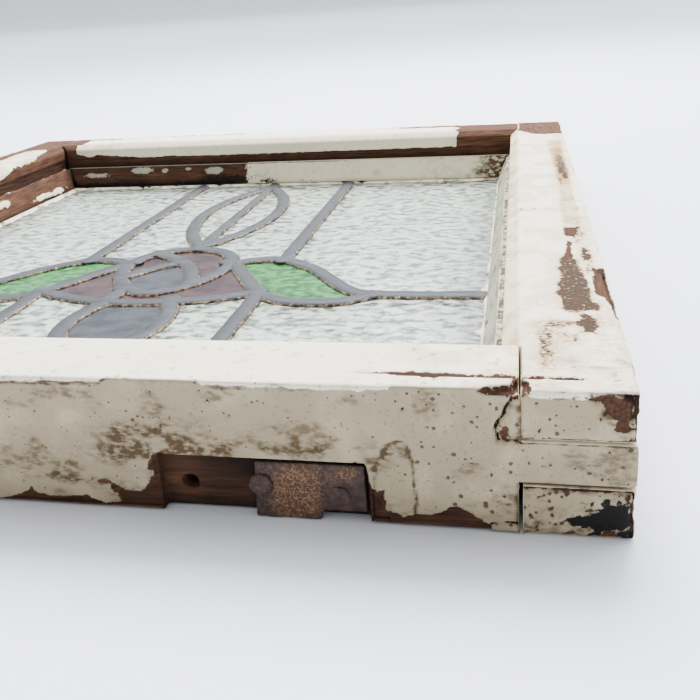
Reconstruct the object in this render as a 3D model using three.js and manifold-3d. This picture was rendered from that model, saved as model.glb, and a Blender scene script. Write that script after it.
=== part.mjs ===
// A small wooden sash with a leaded light, lying on its underside.
// X runs along the hinge edge, Y from the hinge edge to the far edge, Z out of the face.
// The origin is the middle of the hinge edge's outer face, at mid thickness.
// Heights in this file are measured up from the underside. All sizes are millimetres.
import * as THREE from 'three';
import { mergeVertices } from 'three/addons/utils/BufferGeometryUtils.js';
import Module from 'manifold-3d';

const wasm = await Module();
wasm.setup();

// Sash
const SASH_WIDTH = 430;
const SASH_LENGTH = 438;
const SASH_THICKNESS = 45;
const STILE_FLAT = 30.5;
const RAIL_FLAT = 28;
const MOULDING_WIDTH = 5.5;
const MOULDING_FALL = 4;
const REBATE_TOP = 33;
const REBATE_STEP = 1.2;
const LIP_WIDTH = 9;
const LIP_HEIGHT = 5.5;

// Bridle joints at the corners
const TENON_LOW = 16;
const TENON_HIGH = 29.3;
const GAP = 0.3;

// Glazing beads
const BEAD_TOP_WIDTH = 2.6;
const BEAD_HEIGHT = 27;
const BEAD_NOSE = 2.2;

// Lead came and glass
const CAME_WIDTH = 8;
const VEIN_WIDTH = 6.5;
const BORDER_WIDTH = 9;
const FLANGE = 0.8;
const CHANNEL = 3.6;
const HEART = 1.6;
const PANEL_EDGE_GAP = 1;
const PANEL_LOW = LIP_HEIGHT + GAP;

// Ornament, placed from the centre line and the hinge edge
const BAR_X = 58.5;
const ROSE_TOP_Y = 231.5;
const BUD_BASE_Y = 236;
const BUD_TIP_Y = 386;
const BUD_HALF_WIDTH = 25.5;
const CALYX_HALF_WIDTH = 58.5;
const CALYX_END_Y = 161;
const CALYX_LOW_Y = 146;
const LEAF_TOP_Y = 212;
const LEAF_TIP_X = 117;
const LEAF_TIP_Y = 158.5;
const DROP_X = 2;
const DROP_TOP_Y = 146;
const DROP_TIP_Y = 62;
const SOLDER_RADIUS = 5;
const SOLDER_JOINTS = [
  [0, BUD_TIP_Y], [0, ROSE_TOP_Y + 1], [0, DROP_TIP_Y],
  ...[-1, 1].flatMap((side) => [
    [side * LEAF_TIP_X, LEAF_TIP_Y], [side * CALYX_HALF_WIDTH, CALYX_END_Y], [side * BAR_X, LEAF_TOP_Y - 1.5],
  ]),
];

// Hinge recesses and what is left of one hinge leaf
const RECESS_NEAR = 79;
const RECESS_FAR = 141.7;
const RECESS_HEIGHT = 19.5;
const RECESS_DEPTH = 3.5;
const LEAF_THICKNESS = 2;
const LEAF_LEFT = 107.5;
const LEAF_RIGHT = 141.2;
const LEAF_TOP = 18.7;
const TONGUE_RIGHT = 127.5;
const TONGUE_LOW = 0.3;
const LEAF_LOW = 3.4;
const SCREWS = [[110, 11.1], [132.9, 8]];
const SCREW_HEAD_RADIUS = 4;
const SCREW_SHANK_RADIUS = 1.7;
const SCREW_LENGTH = 13;
const SCREW_HEAD_HEIGHT = 0.7;
const EMPTY_HOLE = [86.5, 8.6];
const HOLE_RADIUS = 2.2;

// Damage
const GOUGE_DEPTH = 5;
const WORN_CORNER = 9;

const HALF_WIDTH = SASH_WIDTH / 2;
const FLANGE_TOP = PANEL_LOW + 2 * FLANGE + CHANNEL;

// ---- solids ----

function solidOf(geometry) {
  const bare = geometry.clone();
  bare.deleteAttribute('normal');
  bare.deleteAttribute('uv');
  const merged = mergeVertices(bare, 1e-4);
  return new wasm.Manifold(new wasm.Mesh({
    numProp: 3,
    vertProperties: new Float32Array(merged.attributes.position.array),
    triVerts: new Uint32Array(merged.index.array),
  }));
}

function geometryOf(solid) {
  const mesh = solid.getMesh();
  const geometry = new THREE.BufferGeometry();
  geometry.setAttribute('position', new THREE.BufferAttribute(new Float32Array(mesh.vertProperties), 3));
  geometry.setIndex(new THREE.BufferAttribute(new Uint32Array(mesh.triVerts), 1));
  geometry.computeVertexNormals();
  return geometry;
}

function union(solids) {
  return solids.reduce((sum, solid) => sum.add(solid));
}

// A plan outline of [x, y] points, raised from one height to another.
function prism(points, low, high) {
  const shape = new THREE.Shape(points.map(([x, y]) => new THREE.Vector2(x, y)));
  const geometry = new THREE.ExtrudeGeometry(shape, { depth: high - low, bevelEnabled: false });
  return solidOf(geometry.translate(0, 0, low));
}

// A front outline of [x, height] points, cut back from near to far along Y.
function frontPrism(points, near, far) {
  const shape = new THREE.Shape(points.map(([x, z]) => new THREE.Vector2(x, z)));
  const geometry = new THREE.ExtrudeGeometry(shape, { depth: far - near, bevelEnabled: false });
  return solidOf(geometry.rotateX(Math.PI / 2).translate(0, far, 0));
}

function box(x0, x1, y0, y1, z0, z1) {
  const geometry = new THREE.BoxGeometry(x1 - x0, y1 - y0, z1 - z0);
  return solidOf(geometry.translate((x0 + x1) / 2, (y0 + y1) / 2, (z0 + z1) / 2));
}

function mirrorX(points) {
  return points.map(([x, ...rest]) => [-x, ...rest]).reverse();
}

// ---- sash members ----

const SIDES = {
  left: { turn: 0, x: -HALF_WIDTH, y: SASH_LENGTH / 2, run: SASH_LENGTH },
  bottom: { turn: Math.PI / 2, x: 0, y: 0, run: SASH_WIDTH },
  right: { turn: Math.PI, x: HALF_WIDTH, y: SASH_LENGTH / 2, run: SASH_LENGTH },
  top: { turn: -Math.PI / 2, x: 0, y: SASH_LENGTH, run: SASH_WIDTH },
};

// A profile of [inward, height] points run along one side of the sash.
function runAlong(side, profile) {
  const { turn, x, y, run } = SIDES[side];
  const shape = new THREE.Shape(profile.map(([inward, height]) => new THREE.Vector2(inward, height)));
  const geometry = new THREE.ExtrudeGeometry(shape, { depth: run, bevelEnabled: false });
  geometry.rotateX(Math.PI / 2).translate(0, run / 2, 0);
  return solidOf(geometry.rotateZ(turn).translate(x, y, 0));
}

function memberProfile(flat) {
  const wall = flat + MOULDING_WIDTH;
  return [
    [0, 0],
    [wall + LIP_WIDTH, 0],
    [wall + LIP_WIDTH, LIP_HEIGHT],
    [wall - REBATE_STEP, LIP_HEIGHT],
    [wall - REBATE_STEP, REBATE_TOP],
    [wall, REBATE_TOP],
    [wall, SASH_THICKNESS - MOULDING_FALL],
    [flat, SASH_THICKNESS],
    [0, SASH_THICKNESS],
  ];
}

function beadProfile(flat) {
  const back = flat + MOULDING_WIDTH - REBATE_STEP + GAP;
  const sight = flat + MOULDING_WIDTH + LIP_WIDTH;
  return [
    [back, FLANGE_TOP + GAP],
    [sight, FLANGE_TOP + GAP],
    [sight, FLANGE_TOP + GAP + BEAD_NOSE],
    [flat + MOULDING_WIDTH + BEAD_TOP_WIDTH, BEAD_HEIGHT],
    [back, BEAD_HEIGHT],
  ];
}

// The plan area of the bottom and top rails between the stiles' shoulders and mitres.
function railAreas(shrink) {
  const shoulder = HALF_WIDTH - STILE_FLAT - shrink;
  const reach = MOULDING_WIDTH + LIP_WIDTH + 1;
  const right = [[shoulder, -1], [shoulder, RAIL_FLAT], [shoulder - reach, RAIL_FLAT + reach]];
  const bottom = prism([...right, ...mirrorX(right)], -1, SASH_THICKNESS + 1);
  const far = [[shoulder, SASH_LENGTH + 1], [shoulder, SASH_LENGTH - RAIL_FLAT],
    [shoulder - reach, SASH_LENGTH - RAIL_FLAT - reach]];
  const top = prism([...mirrorX(far), ...far].reverse(), -1, SASH_THICKNESS + 1);
  return { bottom, top };
}

function tenonZones(grow) {
  const low = TENON_LOW - grow;
  const high = TENON_HIGH + grow;
  const width = RAIL_FLAT + grow;
  return {
    bottom: box(-HALF_WIDTH - grow, HALF_WIDTH + grow, -grow, width, low, high),
    top: box(-HALF_WIDTH - grow, HALF_WIDTH + grow, SASH_LENGTH - width, SASH_LENGTH + grow, low, high),
  };
}

function makeRail(side) {
  const zone = railAreas(GAP / 2)[side].add(tenonZones(0)[side]);
  return runAlong(side, memberProfile(RAIL_FLAT)).intersect(zone);
}

function makeStile(side) {
  const areas = railAreas(-GAP / 2);
  const zones = tenonZones(GAP);
  return runAlong(side, memberProfile(STILE_FLAT))
    .subtract(areas.bottom).subtract(areas.top)
    .subtract(zones.bottom).subtract(zones.top);
}

function makeRailBead(side) {
  return runAlong(side, beadProfile(RAIL_FLAT)).intersect(railAreas(GAP)[side]);
}

function makeStileBead(side) {
  const areas = railAreas(-GAP);
  return runAlong(side, beadProfile(STILE_FLAT)).subtract(areas.bottom).subtract(areas.top);
}

// ---- hinge recesses, hinge leaf, screws ----

function screwHole(x, height, stretch = 1) {
  const geometry = new THREE.CylinderGeometry(HOLE_RADIUS, HOLE_RADIUS, 2 * SCREW_LENGTH, 12);
  return solidOf(geometry.scale(stretch, 1, 1).translate(x, RECESS_DEPTH, height));
}

function recessAt(sign) {
  const ends = [sign * RECESS_NEAR, sign * RECESS_FAR].sort((a, b) => a - b);
  const pocket = box(ends[0], ends[1], -1, RECESS_DEPTH, -1, RECESS_HEIGHT);
  const empty = screwHole(sign * EMPTY_HOLE[0], EMPTY_HOLE[1], 1.5);
  const used = SCREWS.map(([x, height]) => screwHole(sign * x, height));
  return union([pocket, empty, ...used]);
}

function makeHingeLeaf() {
  const front = RECESS_DEPTH - GAP - LEAF_THICKNESS;
  const outline = [
    [LEAF_LEFT, TONGUE_LOW], [TONGUE_RIGHT, TONGUE_LOW],
    [TONGUE_RIGHT + 0.5, LEAF_LOW], [LEAF_RIGHT, LEAF_LOW],
    [LEAF_RIGHT, LEAF_TOP], [LEAF_LEFT + 1, LEAF_TOP],
  ];
  const plate = frontPrism(outline, front, front + LEAF_THICKNESS);
  const holes = SCREWS.map(([x, height]) => screwHole(x, height));
  return plate.subtract(union(holes));
}

function makeScrew([x, height]) {
  const seat = RECESS_DEPTH - 2 * GAP - LEAF_THICKNESS;
  const profile = [
    [0, -SCREW_LENGTH], [SCREW_SHANK_RADIUS, -SCREW_LENGTH + 2], [SCREW_SHANK_RADIUS, 0],
    [SCREW_HEAD_RADIUS, 0], [SCREW_HEAD_RADIUS * 0.75, SCREW_HEAD_HEIGHT * 0.8], [0, SCREW_HEAD_HEIGHT],
  ].map(([radius, along]) => new THREE.Vector2(radius, along));
  const geometry = new THREE.LatheGeometry(profile, 12);
  return solidOf(geometry.rotateX(Math.PI).translate(x, seat, height));
}

// ---- damage ----

// A splintered gouge in the top arris of the hinge edge, at the right-hand joint.
function gouge() {
  const joint = HALF_WIDTH - STILE_FLAT;
  const high = SASH_THICKNESS + 1;
  const edge = SASH_THICKNESS;
  return frontPrism([
    [joint - 12, edge - 0.7], [joint - 5.5, edge - 2.4], [joint + 2, edge - 2.2],
    [joint + 2.5, high], [joint - 9, high],
  ], -1, GOUGE_DEPTH);
}

// The far left corner is worn away.
function wornCorner() {
  const x = -HALF_WIDTH;
  const y = SASH_LENGTH;
  return prism([
    [x - 1, y - WORN_CORNER], [x, y - WORN_CORNER], [x + WORN_CORNER * 0.3, y - WORN_CORNER * 0.35],
    [x + WORN_CORNER, y], [x + WORN_CORNER, y + 1], [x - 1, y + 1],
  ], -1, SASH_THICKNESS + 1);
}

// ---- leading ----

function curveThrough(points, steps) {
  const curve = new THREE.SplineCurve(points.map(([x, y]) => new THREE.Vector2(x, y)));
  return curve.getSpacedPoints(steps).map((p) => [p.x, p.y]);
}

// An arc from one point to another that bulges to the left of the way by the given rise.
function arc([x0, y0], [x1, y1], rise, steps) {
  const half = Math.hypot(x1 - x0, y1 - y0) / 2;
  const radius = (half * half + rise * rise) / (2 * Math.abs(rise));
  const ux = (x1 - x0) / (2 * half);
  const uy = (y1 - y0) / (2 * half);
  const sweep = Math.asin(Math.min(1, half / radius));
  const side = Math.sign(rise);
  return Array.from({ length: steps + 1 }, (_, i) => {
    const angle = -sweep + (2 * sweep * i) / steps;
    const along = half + radius * Math.sin(angle);
    const out = side * (radius * Math.cos(angle) - (radius - Math.abs(rise)));
    return [x0 + ux * along - uy * out, y0 + uy * along + ux * out];
  });
}

function ringPoints() {
  const rightHalf = [[0, ROSE_TOP_Y], [14, 228], [24.5, 219], [29.5, 206], [28, 191], [23.5, 179.5], [14.5, 167], [0, 159]];
  const leftHalf = mirrorX(rightHalf).slice(1, -1);
  const loop = [...rightHalf, ...leftHalf].map(([x, y]) => new THREE.Vector3(x, y, 0));
  const curve = new THREE.CatmullRomCurve3(loop, true, 'centripetal');
  return curve.getSpacedPoints(28).map((p) => [p.x, p.y]);
}

const PANEL = {
  x: HALF_WIDTH - STILE_FLAT - MOULDING_WIDTH + REBATE_STEP - PANEL_EDGE_GAP,
  low: RAIL_FLAT + MOULDING_WIDTH - REBATE_STEP + PANEL_EDGE_GAP,
  high: SASH_LENGTH - RAIL_FLAT - MOULDING_WIDTH + REBATE_STEP - PANEL_EDGE_GAP,
};

// Every strip of came, as a centre line and a width. Mirrored strips are given once.
function cameLines() {
  const inset = BORDER_WIDTH / 2;
  const low = PANEL.low + inset;
  const high = PANEL.high - inset;
  const side = PANEL.x - inset;
  const mirrored = [
    [[BAR_X, LEAF_TOP_Y - 1], [BAR_X, high]],
    [[CALYX_HALF_WIDTH + 1, CALYX_END_Y], [CALYX_HALF_WIDTH + 1, low]],
    [[LEAF_TIP_X, LEAF_TIP_Y], [side, LEAF_TIP_Y]],
    arc([0, BUD_TIP_Y], [0, BUD_BASE_Y], BUD_HALF_WIDTH, 12),
    curveThrough([[28.5, 211], [35, 200], [46.5, 180.5], [CALYX_HALF_WIDTH, CALYX_END_Y]], 3),
    curveThrough([[32, 205], [40, 210], [50, LEAF_TOP_Y], [60, 210], [70, 203.5], [80, 195], [90, 182],
      [100, 168.5], [108, 161.5], [LEAF_TIP_X, LEAF_TIP_Y]], 12),
    curveThrough([[CALYX_HALF_WIDTH, CALYX_END_Y], [64, 155.5], [72, 151], [82, 148.5], [92, 148], [102, 149.5],
      [110, 153], [LEAF_TIP_X, LEAF_TIP_Y]], 8),
  ];
  const single = [
    arc([-CALYX_HALF_WIDTH, CALYX_END_Y], [CALYX_HALF_WIDTH, CALYX_END_Y], CALYX_LOW_Y - CALYX_END_Y, 9),
    curveThrough([[-21, 222.5], [-10, 216.5], [0, 208.5], [8, 198.5], [14, 187], [18.5, 173.5]], 6),
    curveThrough([[-1.5, 209.5], [-3, 205], [-9, 200.5], [-16, 193], [-24.5, 181.5]], 4),
    [[-13.5, 165], [-16.5, 148]],
    [[0, DROP_TIP_Y + 2], [0, low]],
    [[0, BUD_TIP_Y], [0, high]],
  ];
  const drop = [[16, 0], [20.5, -8], [23, -20], [22, -34], [18, -43], [12, -53], [6.5, -65], [2, -76]];
  const dropSide = (sign) => curveThrough([
    ...drop.map(([out, down]) => [DROP_X + sign * out, DROP_TOP_Y + down]), [0, DROP_TIP_Y],
  ], 10);
  const wide = [...mirrored, ...mirrored.map(mirrorX), ...single, ringPoints(), dropSide(1), dropSide(-1)];
  const vein = [[0, ROSE_TOP_Y], [0, BUD_TIP_Y]];
  return [...wide.map((line) => ({ line, width: CAME_WIDTH })), { line: vein, width: VEIN_WIDTH }];
}

function normalAt(line, i) {
  const closed = Math.hypot(line[0][0] - line.at(-1)[0], line[0][1] - line.at(-1)[1]) < 1e-6;
  const last = line.length - 1;
  const before = line[i > 0 ? i - 1 : (closed ? last - 1 : 0)];
  const after = line[i < last ? i + 1 : (closed ? 1 : last)];
  const dx = after[0] - before[0];
  const dy = after[1] - before[1];
  const length = Math.hypot(dx, dy);
  return [-dy / length, dx / length];
}

// A strip of constant width along a centre line.
function strip(line, width, low, high) {
  const half = width / 2;
  const left = line.map(([x, y], i) => [x + normalAt(line, i)[0] * half, y + normalAt(line, i)[1] * half]);
  const right = line.map(([x, y], i) => [x - normalAt(line, i)[0] * half, y - normalAt(line, i)[1] * half]);
  const closed = Math.hypot(line[0][0] - line.at(-1)[0], line[0][1] - line.at(-1)[1]) < 1e-6;
  if (closed) {
    const outer = left[0][1] > right[0][1] ? left : right;
    const inner = outer === left ? right : left;
    return prism(outer.slice(0, -1), low, high).subtract(prism(inner.slice(0, -1), low - 1, high + 1));
  }
  return prism([...left, ...right.reverse()], low, high);
}

// The flanges of every strip of came on one face, with the round solder joints.
function flanges(low, high) {
  const strips = cameLines().map(({ line, width }) => strip(line, width, low, high));
  const joints = SOLDER_JOINTS.map(([x, y]) => {
    const disc = new THREE.CylinderGeometry(SOLDER_RADIUS, SOLDER_RADIUS, high - low, 8);
    return solidOf(disc.rotateX(Math.PI / 2).translate(x, y, (low + high) / 2));
  });
  return union([...strips, ...joints, frameOf(0, BORDER_WIDTH, low, high)]);
}

// The hearts between the glass pieces.
function hearts(width, low, high) {
  return union(cameLines().map(({ line }) => strip(line, width, low, high)));
}

function frameOf(edge, inset, low, high) {
  const outer = box(-PANEL.x + edge, PANEL.x - edge, PANEL.low + edge, PANEL.high - edge, low, high);
  const inner = box(-PANEL.x + inset, PANEL.x - inset, PANEL.low + inset, PANEL.high - inset, low - 1, high + 1);
  return outer.subtract(inner);
}

function makeCames() {
  const levels = [PANEL_LOW, PANEL_LOW + FLANGE, PANEL_LOW + FLANGE + CHANNEL, FLANGE_TOP];
  const borderEdge = (BORDER_WIDTH - HEART) / 2;
  const middle = hearts(HEART, levels[0] + FLANGE / 2, levels[3] - FLANGE / 2)
    .add(frameOf(borderEdge, borderEdge + HEART, levels[0] + FLANGE / 2, levels[3] - FLANGE / 2));
  return union([flanges(levels[0], levels[1]), middle, flanges(levels[2], levels[3])]);
}

// One point inside each glass piece, and its material.
const GLASS = {
  glass_bud_left: [-12, 300, 'clear'],
  glass_bud_right: [12, 300, 'clear'],
  glass_rose_left: [-18, 205, 'mauve'],
  glass_rose_heart: [-3, 180, 'smoke'],
  glass_rose_right: [15, 205, 'mauve'],
  glass_petal_left: [-36, 168, 'mauve'],
  glass_petal_right: [38, 168, 'mauve'],
  glass_leaf_left: [-70, 180, 'green'],
  glass_leaf_right: [70, 180, 'green'],
  glass_drop: [2, 120, 'smoke'],
  glass_upper_outer_left: [-110, 300, 'clear'],
  glass_upper_inner_left: [-42, 300, 'clear'],
  glass_upper_inner_right: [42, 300, 'clear'],
  glass_upper_outer_right: [110, 300, 'clear'],
  glass_lower_outer_left: [-110, 100, 'clear'],
  glass_lower_inner_left: [-42, 90, 'clear'],
  glass_lower_inner_right: [42, 90, 'clear'],
  glass_lower_outer_right: [110, 100, 'clear'],
};

function makeGlass() {
  const low = PANEL_LOW + FLANGE + GAP;
  const high = PANEL_LOW + FLANGE + CHANNEL - GAP;
  const edge = (BORDER_WIDTH + HEART) / 2 + GAP;
  const sheet = box(-PANEL.x + edge, PANEL.x - edge, PANEL.low + edge, PANEL.high - edge, low, high);
  const pieces = sheet.subtract(hearts(HEART + 2 * GAP, low - 1, high + 1)).decompose();
  const named = {};
  for (const [name, [x, y]] of Object.entries(GLASS)) {
    const probe = box(x - 1, x + 1, y - 1, y + 1, low, high);
    named[name] = pieces.find((piece) => piece.intersect(probe).volume() > 1);
  }
  return named;
}

// ---- materials and assembly ----

const FINISHES = {
  paint: { color: 0xd8d2bf, roughness: 0.75, metalness: 0 },
  bead: { color: 0xb9b39c, roughness: 0.8, metalness: 0 },
  lead: { color: 0x7e838c, roughness: 0.55, metalness: 0.6 },
  iron: { color: 0x4a3426, roughness: 0.9, metalness: 0.4 },
  clear: { color: 0xdfe8e2, roughness: 0.15, metalness: 0, transparent: true, opacity: 0.4 },
  mauve: { color: 0x7d6870, roughness: 0.2, metalness: 0, transparent: true, opacity: 0.8 },
  smoke: { color: 0x7c8286, roughness: 0.2, metalness: 0, transparent: true, opacity: 0.85 },
  green: { color: 0x5f9c63, roughness: 0.2, metalness: 0, transparent: true, opacity: 0.8 },
};

const group = new THREE.Group();
group.position.z = -SASH_THICKNESS / 2;

function place(name, solid, finish) {
  const mesh = new THREE.Mesh(geometryOf(solid), new THREE.MeshStandardMaterial(FINISHES[finish]));
  mesh.name = name;
  group.add(mesh);
}

place('stile_left', makeStile('left').subtract(wornCorner()), 'paint');
place('stile_right', makeStile('right').subtract(gouge()), 'paint');
place('rail_bottom', makeRail('bottom').subtract(recessAt(1)).subtract(recessAt(-1)).subtract(gouge()), 'paint');
place('rail_top', makeRail('top').subtract(wornCorner()), 'paint');
place('bead_left', makeStileBead('left'), 'bead');
place('bead_right', makeStileBead('right'), 'bead');
place('bead_bottom', makeRailBead('bottom'), 'bead');
place('bead_top', makeRailBead('top'), 'bead');
place('lead_cames', makeCames(), 'lead');
for (const [name, solid] of Object.entries(makeGlass())) {
  place(name, solid, GLASS[name][2]);
}
place('hinge_leaf', makeHingeLeaf(), 'iron');
SCREWS.forEach((screw, i) => place(`hinge_screw_${i + 1}`, makeScrew(screw), 'iron'));

export default group;
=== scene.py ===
# A small painted sash with a leaded light, lying on its underside.
# Sizes here are millimetres and heights are measured up from the underside; make_piece turns both
# into the frame's metres. X runs along the hinge edge and Y away from it, as in the frame.
import bpy
import itertools
import math
import numpy as np
from mathutils import Matrix, Vector


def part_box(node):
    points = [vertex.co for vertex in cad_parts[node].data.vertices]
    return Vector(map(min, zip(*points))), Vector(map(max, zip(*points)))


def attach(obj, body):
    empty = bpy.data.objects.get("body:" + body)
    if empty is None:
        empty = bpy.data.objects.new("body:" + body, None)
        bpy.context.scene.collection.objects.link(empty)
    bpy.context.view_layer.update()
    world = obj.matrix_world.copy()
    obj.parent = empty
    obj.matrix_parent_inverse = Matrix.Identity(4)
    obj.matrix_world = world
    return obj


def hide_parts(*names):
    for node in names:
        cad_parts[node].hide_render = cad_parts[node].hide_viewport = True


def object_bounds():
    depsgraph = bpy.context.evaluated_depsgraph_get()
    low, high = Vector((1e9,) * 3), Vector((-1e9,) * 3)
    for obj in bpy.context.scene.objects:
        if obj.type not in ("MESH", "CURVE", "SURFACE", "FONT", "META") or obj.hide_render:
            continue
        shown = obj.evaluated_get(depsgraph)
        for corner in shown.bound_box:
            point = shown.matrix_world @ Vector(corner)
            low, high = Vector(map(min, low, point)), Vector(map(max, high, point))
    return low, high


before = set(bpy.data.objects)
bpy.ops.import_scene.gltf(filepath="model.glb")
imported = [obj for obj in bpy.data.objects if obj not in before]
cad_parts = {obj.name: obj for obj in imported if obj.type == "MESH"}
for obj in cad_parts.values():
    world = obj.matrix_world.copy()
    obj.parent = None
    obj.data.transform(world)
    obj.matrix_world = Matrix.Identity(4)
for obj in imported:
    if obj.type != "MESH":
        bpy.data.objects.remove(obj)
CAD_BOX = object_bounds()
MM = 0.001

# Sizes read from the frame
BASE = CAD_BOX[0].z / MM
THICKNESS = CAD_BOX[1].z / MM - BASE
HALF_WIDTH = CAD_BOX[1].x / MM
LENGTH = CAD_BOX[1].y / MM
SIGHT_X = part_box("stile_right")[0].x / MM
SIGHT_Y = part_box("rail_bottom")[1].y / MM
BEAD_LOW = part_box("bead_right")[0].z / MM - BASE
BEAD_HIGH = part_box("bead_right")[1].z / MM - BASE
GLASS_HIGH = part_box("glass_drop")[1].z / MM - BASE
CAME_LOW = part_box("lead_cames")[0].z / MM - BASE
CAME_REACH_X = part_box("lead_cames")[1].x / MM
CAME_NEAR_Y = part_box("lead_cames")[0].y / MM
CAME_FAR_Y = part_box("lead_cames")[1].y / MM

# Sections of the sash
LIP_WIDTH = 9
LIP_HEIGHT = 5.5
MOULDING_WIDTH = 5.5
MOULDING_FALL = 4
REBATE_TOP = 33
REBATE_STEP = 1.2
STILE_FLAT = HALF_WIDTH - SIGHT_X - LIP_WIDTH - MOULDING_WIDTH
RAIL_FLAT = SIGHT_Y - LIP_WIDTH - MOULDING_WIDTH
SHOULDER = HALF_WIDTH - STILE_FLAT
TENON_LOW = 16
TENON_HIGH = 29.3
JOINT_GAP = 0.3
RECESS_NEAR = 79
RECESS_FAR = 141.7
RECESS_HEIGHT = 19.5
RECESS_DEPTH = 3.5
SCREW_HOLE = (86.5, 8.6)

# Layers on the wood
PAINT_DEPTH = 0.45
COAT_DEPTH = 0.3


# ---- noise ----

HASH_STEPS = np.array([73856093, 19349663, 83492791], dtype=np.int64)


def lattice_noise(points, seed):
    """Smooth noise from -1 to 1, with one random value for each unit cell's corner."""
    cell = np.floor(points).astype(np.int64)
    part = points - cell
    ease = part * part * (3 - 2 * part)
    total = np.zeros(len(points))
    for corner in itertools.product((0, 1), repeat=3):
        key = ((cell + corner) * HASH_STEPS).sum(axis=1) + seed * 374761393
        key = ((key ^ (key >> 13)) * 1274126177) & 0xFFFFFFFF
        key = (key ^ (key >> 16)) & 0xFFFF
        weight = np.where(np.array(corner) == 1, ease, 1 - ease).prod(axis=1)
        total += weight * (key / 32767.5 - 1)
    return total


def fractal(points, size, seed, octaves=4, stretch=(1, 1, 1)):
    """Noise whose largest lumps are about size across, stretched along each axis."""
    scaled = points / (np.array(stretch, float) * size)
    total = np.zeros(len(points))
    for octave in range(octaves):
        total += lattice_noise(scaled * 2**octave + 17.3 * octave, seed + octave) / 2**octave
    return total


def fade(value, low, high):
    """0 below low, 1 above high, and a smooth step between."""
    part = np.clip((value - low) / (high - low), 0, 1)
    return part * part * (3 - 2 * part)


def blob(u, v, centre, radii):
    """A soft round spot: 1 at its centre and near 0 past its radii."""
    return np.exp(-((u - centre[0]) / radii[0]) ** 2 - ((v - centre[1]) / radii[1]) ** 2)


def line_distance(u, v, line):
    """Distance from a chain of points."""
    nearest = np.full(len(u), np.inf)
    for (u0, v0), (u1, v1) in zip(line, line[1:]):
        du, dv = u1 - u0, v1 - v0
        part = np.clip(((u - u0) * du + (v - v0) * dv) / (du * du + dv * dv), 0, 1)
        nearest = np.minimum(nearest, np.hypot(u - u0 - part * du, v - v0 - part * dv))
    return nearest


def inside_distance(u, v, outline):
    """Distance from the edge of an outline, above 0 inside it and below 0 outside."""
    loop = outline + outline[:1]
    inside = np.zeros(len(u), bool)
    for (u0, v0), (u1, v1) in zip(loop, loop[1:]):
        if v0 != v1:
            inside ^= ((v0 > v) != (v1 > v)) & (u < u0 + (v - v0) * (u1 - u0) / (v1 - v0))
    distance = line_distance(u, v, loop)
    return np.where(inside, distance, -distance)


# ---- meshes ----

def grid_lines(start, *runs):
    """Grid lines from start through runs of (end, step)."""
    lines = [start]
    for end, step in runs:
        count = max(1, round((end - lines[-1]) / step))
        lines.extend(np.linspace(lines[-1], end, count + 1)[1:])
    return np.array(lines)


def boundary_mesh(lines, filled):
    """The closed skin of the filled cells of a grid, as points and outward quads."""
    padded = np.pad(filled, 1)
    index = np.arange(math.prod(map(len, lines))).reshape([len(axis) for axis in lines])
    inner = slice(1, -1)
    quads = []
    for axis in range(3):
        cells = np.moveaxis(padded, axis, 0)
        before = cells[:-1, inner, inner]
        after = cells[1:, inner, inner]
        ids = np.moveaxis(index, axis, 0)
        ring = [ids[:, :-1, :-1], ids[:, 1:, :-1], ids[:, 1:, 1:], ids[:, :-1, 1:]]
        corners = np.stack(ring if axis != 1 else ring[::-1], axis=-1)
        quads.append(corners[before & ~after])
        quads.append(corners[after & ~before][:, ::-1])
    quads = np.concatenate(quads)
    used, compact = np.unique(quads, return_inverse=True)
    lattice = np.stack([axis.ravel() for axis in np.meshgrid(*lines, indexing="ij")], axis=1)
    return lattice[used], compact.reshape(quads.shape)


def vertex_normals(points, quads):
    corners = points[quads]
    faces = np.cross(corners[:, 2] - corners[:, 0], corners[:, 3] - corners[:, 1])
    total = np.zeros_like(points)
    for corner in range(4):
        for axis in range(3):
            total[:, axis] += np.bincount(quads[:, corner], faces[:, axis], len(points))
    return total / (np.linalg.norm(total, axis=1, keepdims=True) + 1e-12)


def round_arrises(points, quads, passes, wear):
    """Pull each point along its normal towards its neighbours' mean, so that flat faces stay put.
    A point takes part in a share of the passes, given by its wear from 0 to 1."""
    starts = np.concatenate([quads[:, corner] for corner in (0, 1, 2, 3) * 2])
    ends = np.concatenate([quads[:, corner] for corner in (1, 2, 3, 0, 3, 0, 1, 2)])
    count = np.bincount(starts, minlength=len(points))
    for turn in range(passes):
        mean = np.stack([np.bincount(starts, points[ends, axis], len(points)) / count for axis in range(3)],
                        axis=1)
        normals = vertex_normals(points, quads)
        pull = ((mean - points) * normals).sum(axis=1) * (wear > turn / passes)
        points = points + normals * (0.6 * pull)[:, None]
    return points


def make_piece(name, points, polygons, marks, material, slot, *nodes):
    """A smooth mesh piece from points in millimetres that replaces CAD nodes."""
    points = np.clip(points, (-HALF_WIDTH, 0, 0), (HALF_WIDTH, LENGTH, THICKNESS))
    if isinstance(polygons, np.ndarray):
        corners = polygons.ravel()
        sizes = np.full(len(polygons), polygons.shape[1])
    else:
        corners = np.concatenate(polygons)
        sizes = np.array([len(polygon) for polygon in polygons])
    mesh = bpy.data.meshes.new(name)
    mesh.vertices.add(len(points))
    mesh.vertices.foreach_set("co", ((points + (0, 0, BASE)) * MM).ravel())
    mesh.loops.add(len(corners))
    mesh.loops.foreach_set("vertex_index", corners)
    mesh.polygons.add(len(sizes))
    mesh.polygons.foreach_set("loop_start", np.cumsum(sizes) - sizes)
    mesh.update(calc_edges=True)
    mesh.shade_smooth()
    for mark, values in marks.items():
        layer = mesh.attributes.new(mark, "FLOAT", "POINT")
        layer.data.foreach_set("value", np.asarray(values, np.float32))
    mesh.materials.append(material)
    piece = bpy.data.objects.new(name, mesh)
    bpy.context.scene.collection.objects.link(piece)
    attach(piece, "root")
    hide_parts(*nodes)
    return piece


# ---- materials ----

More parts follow.
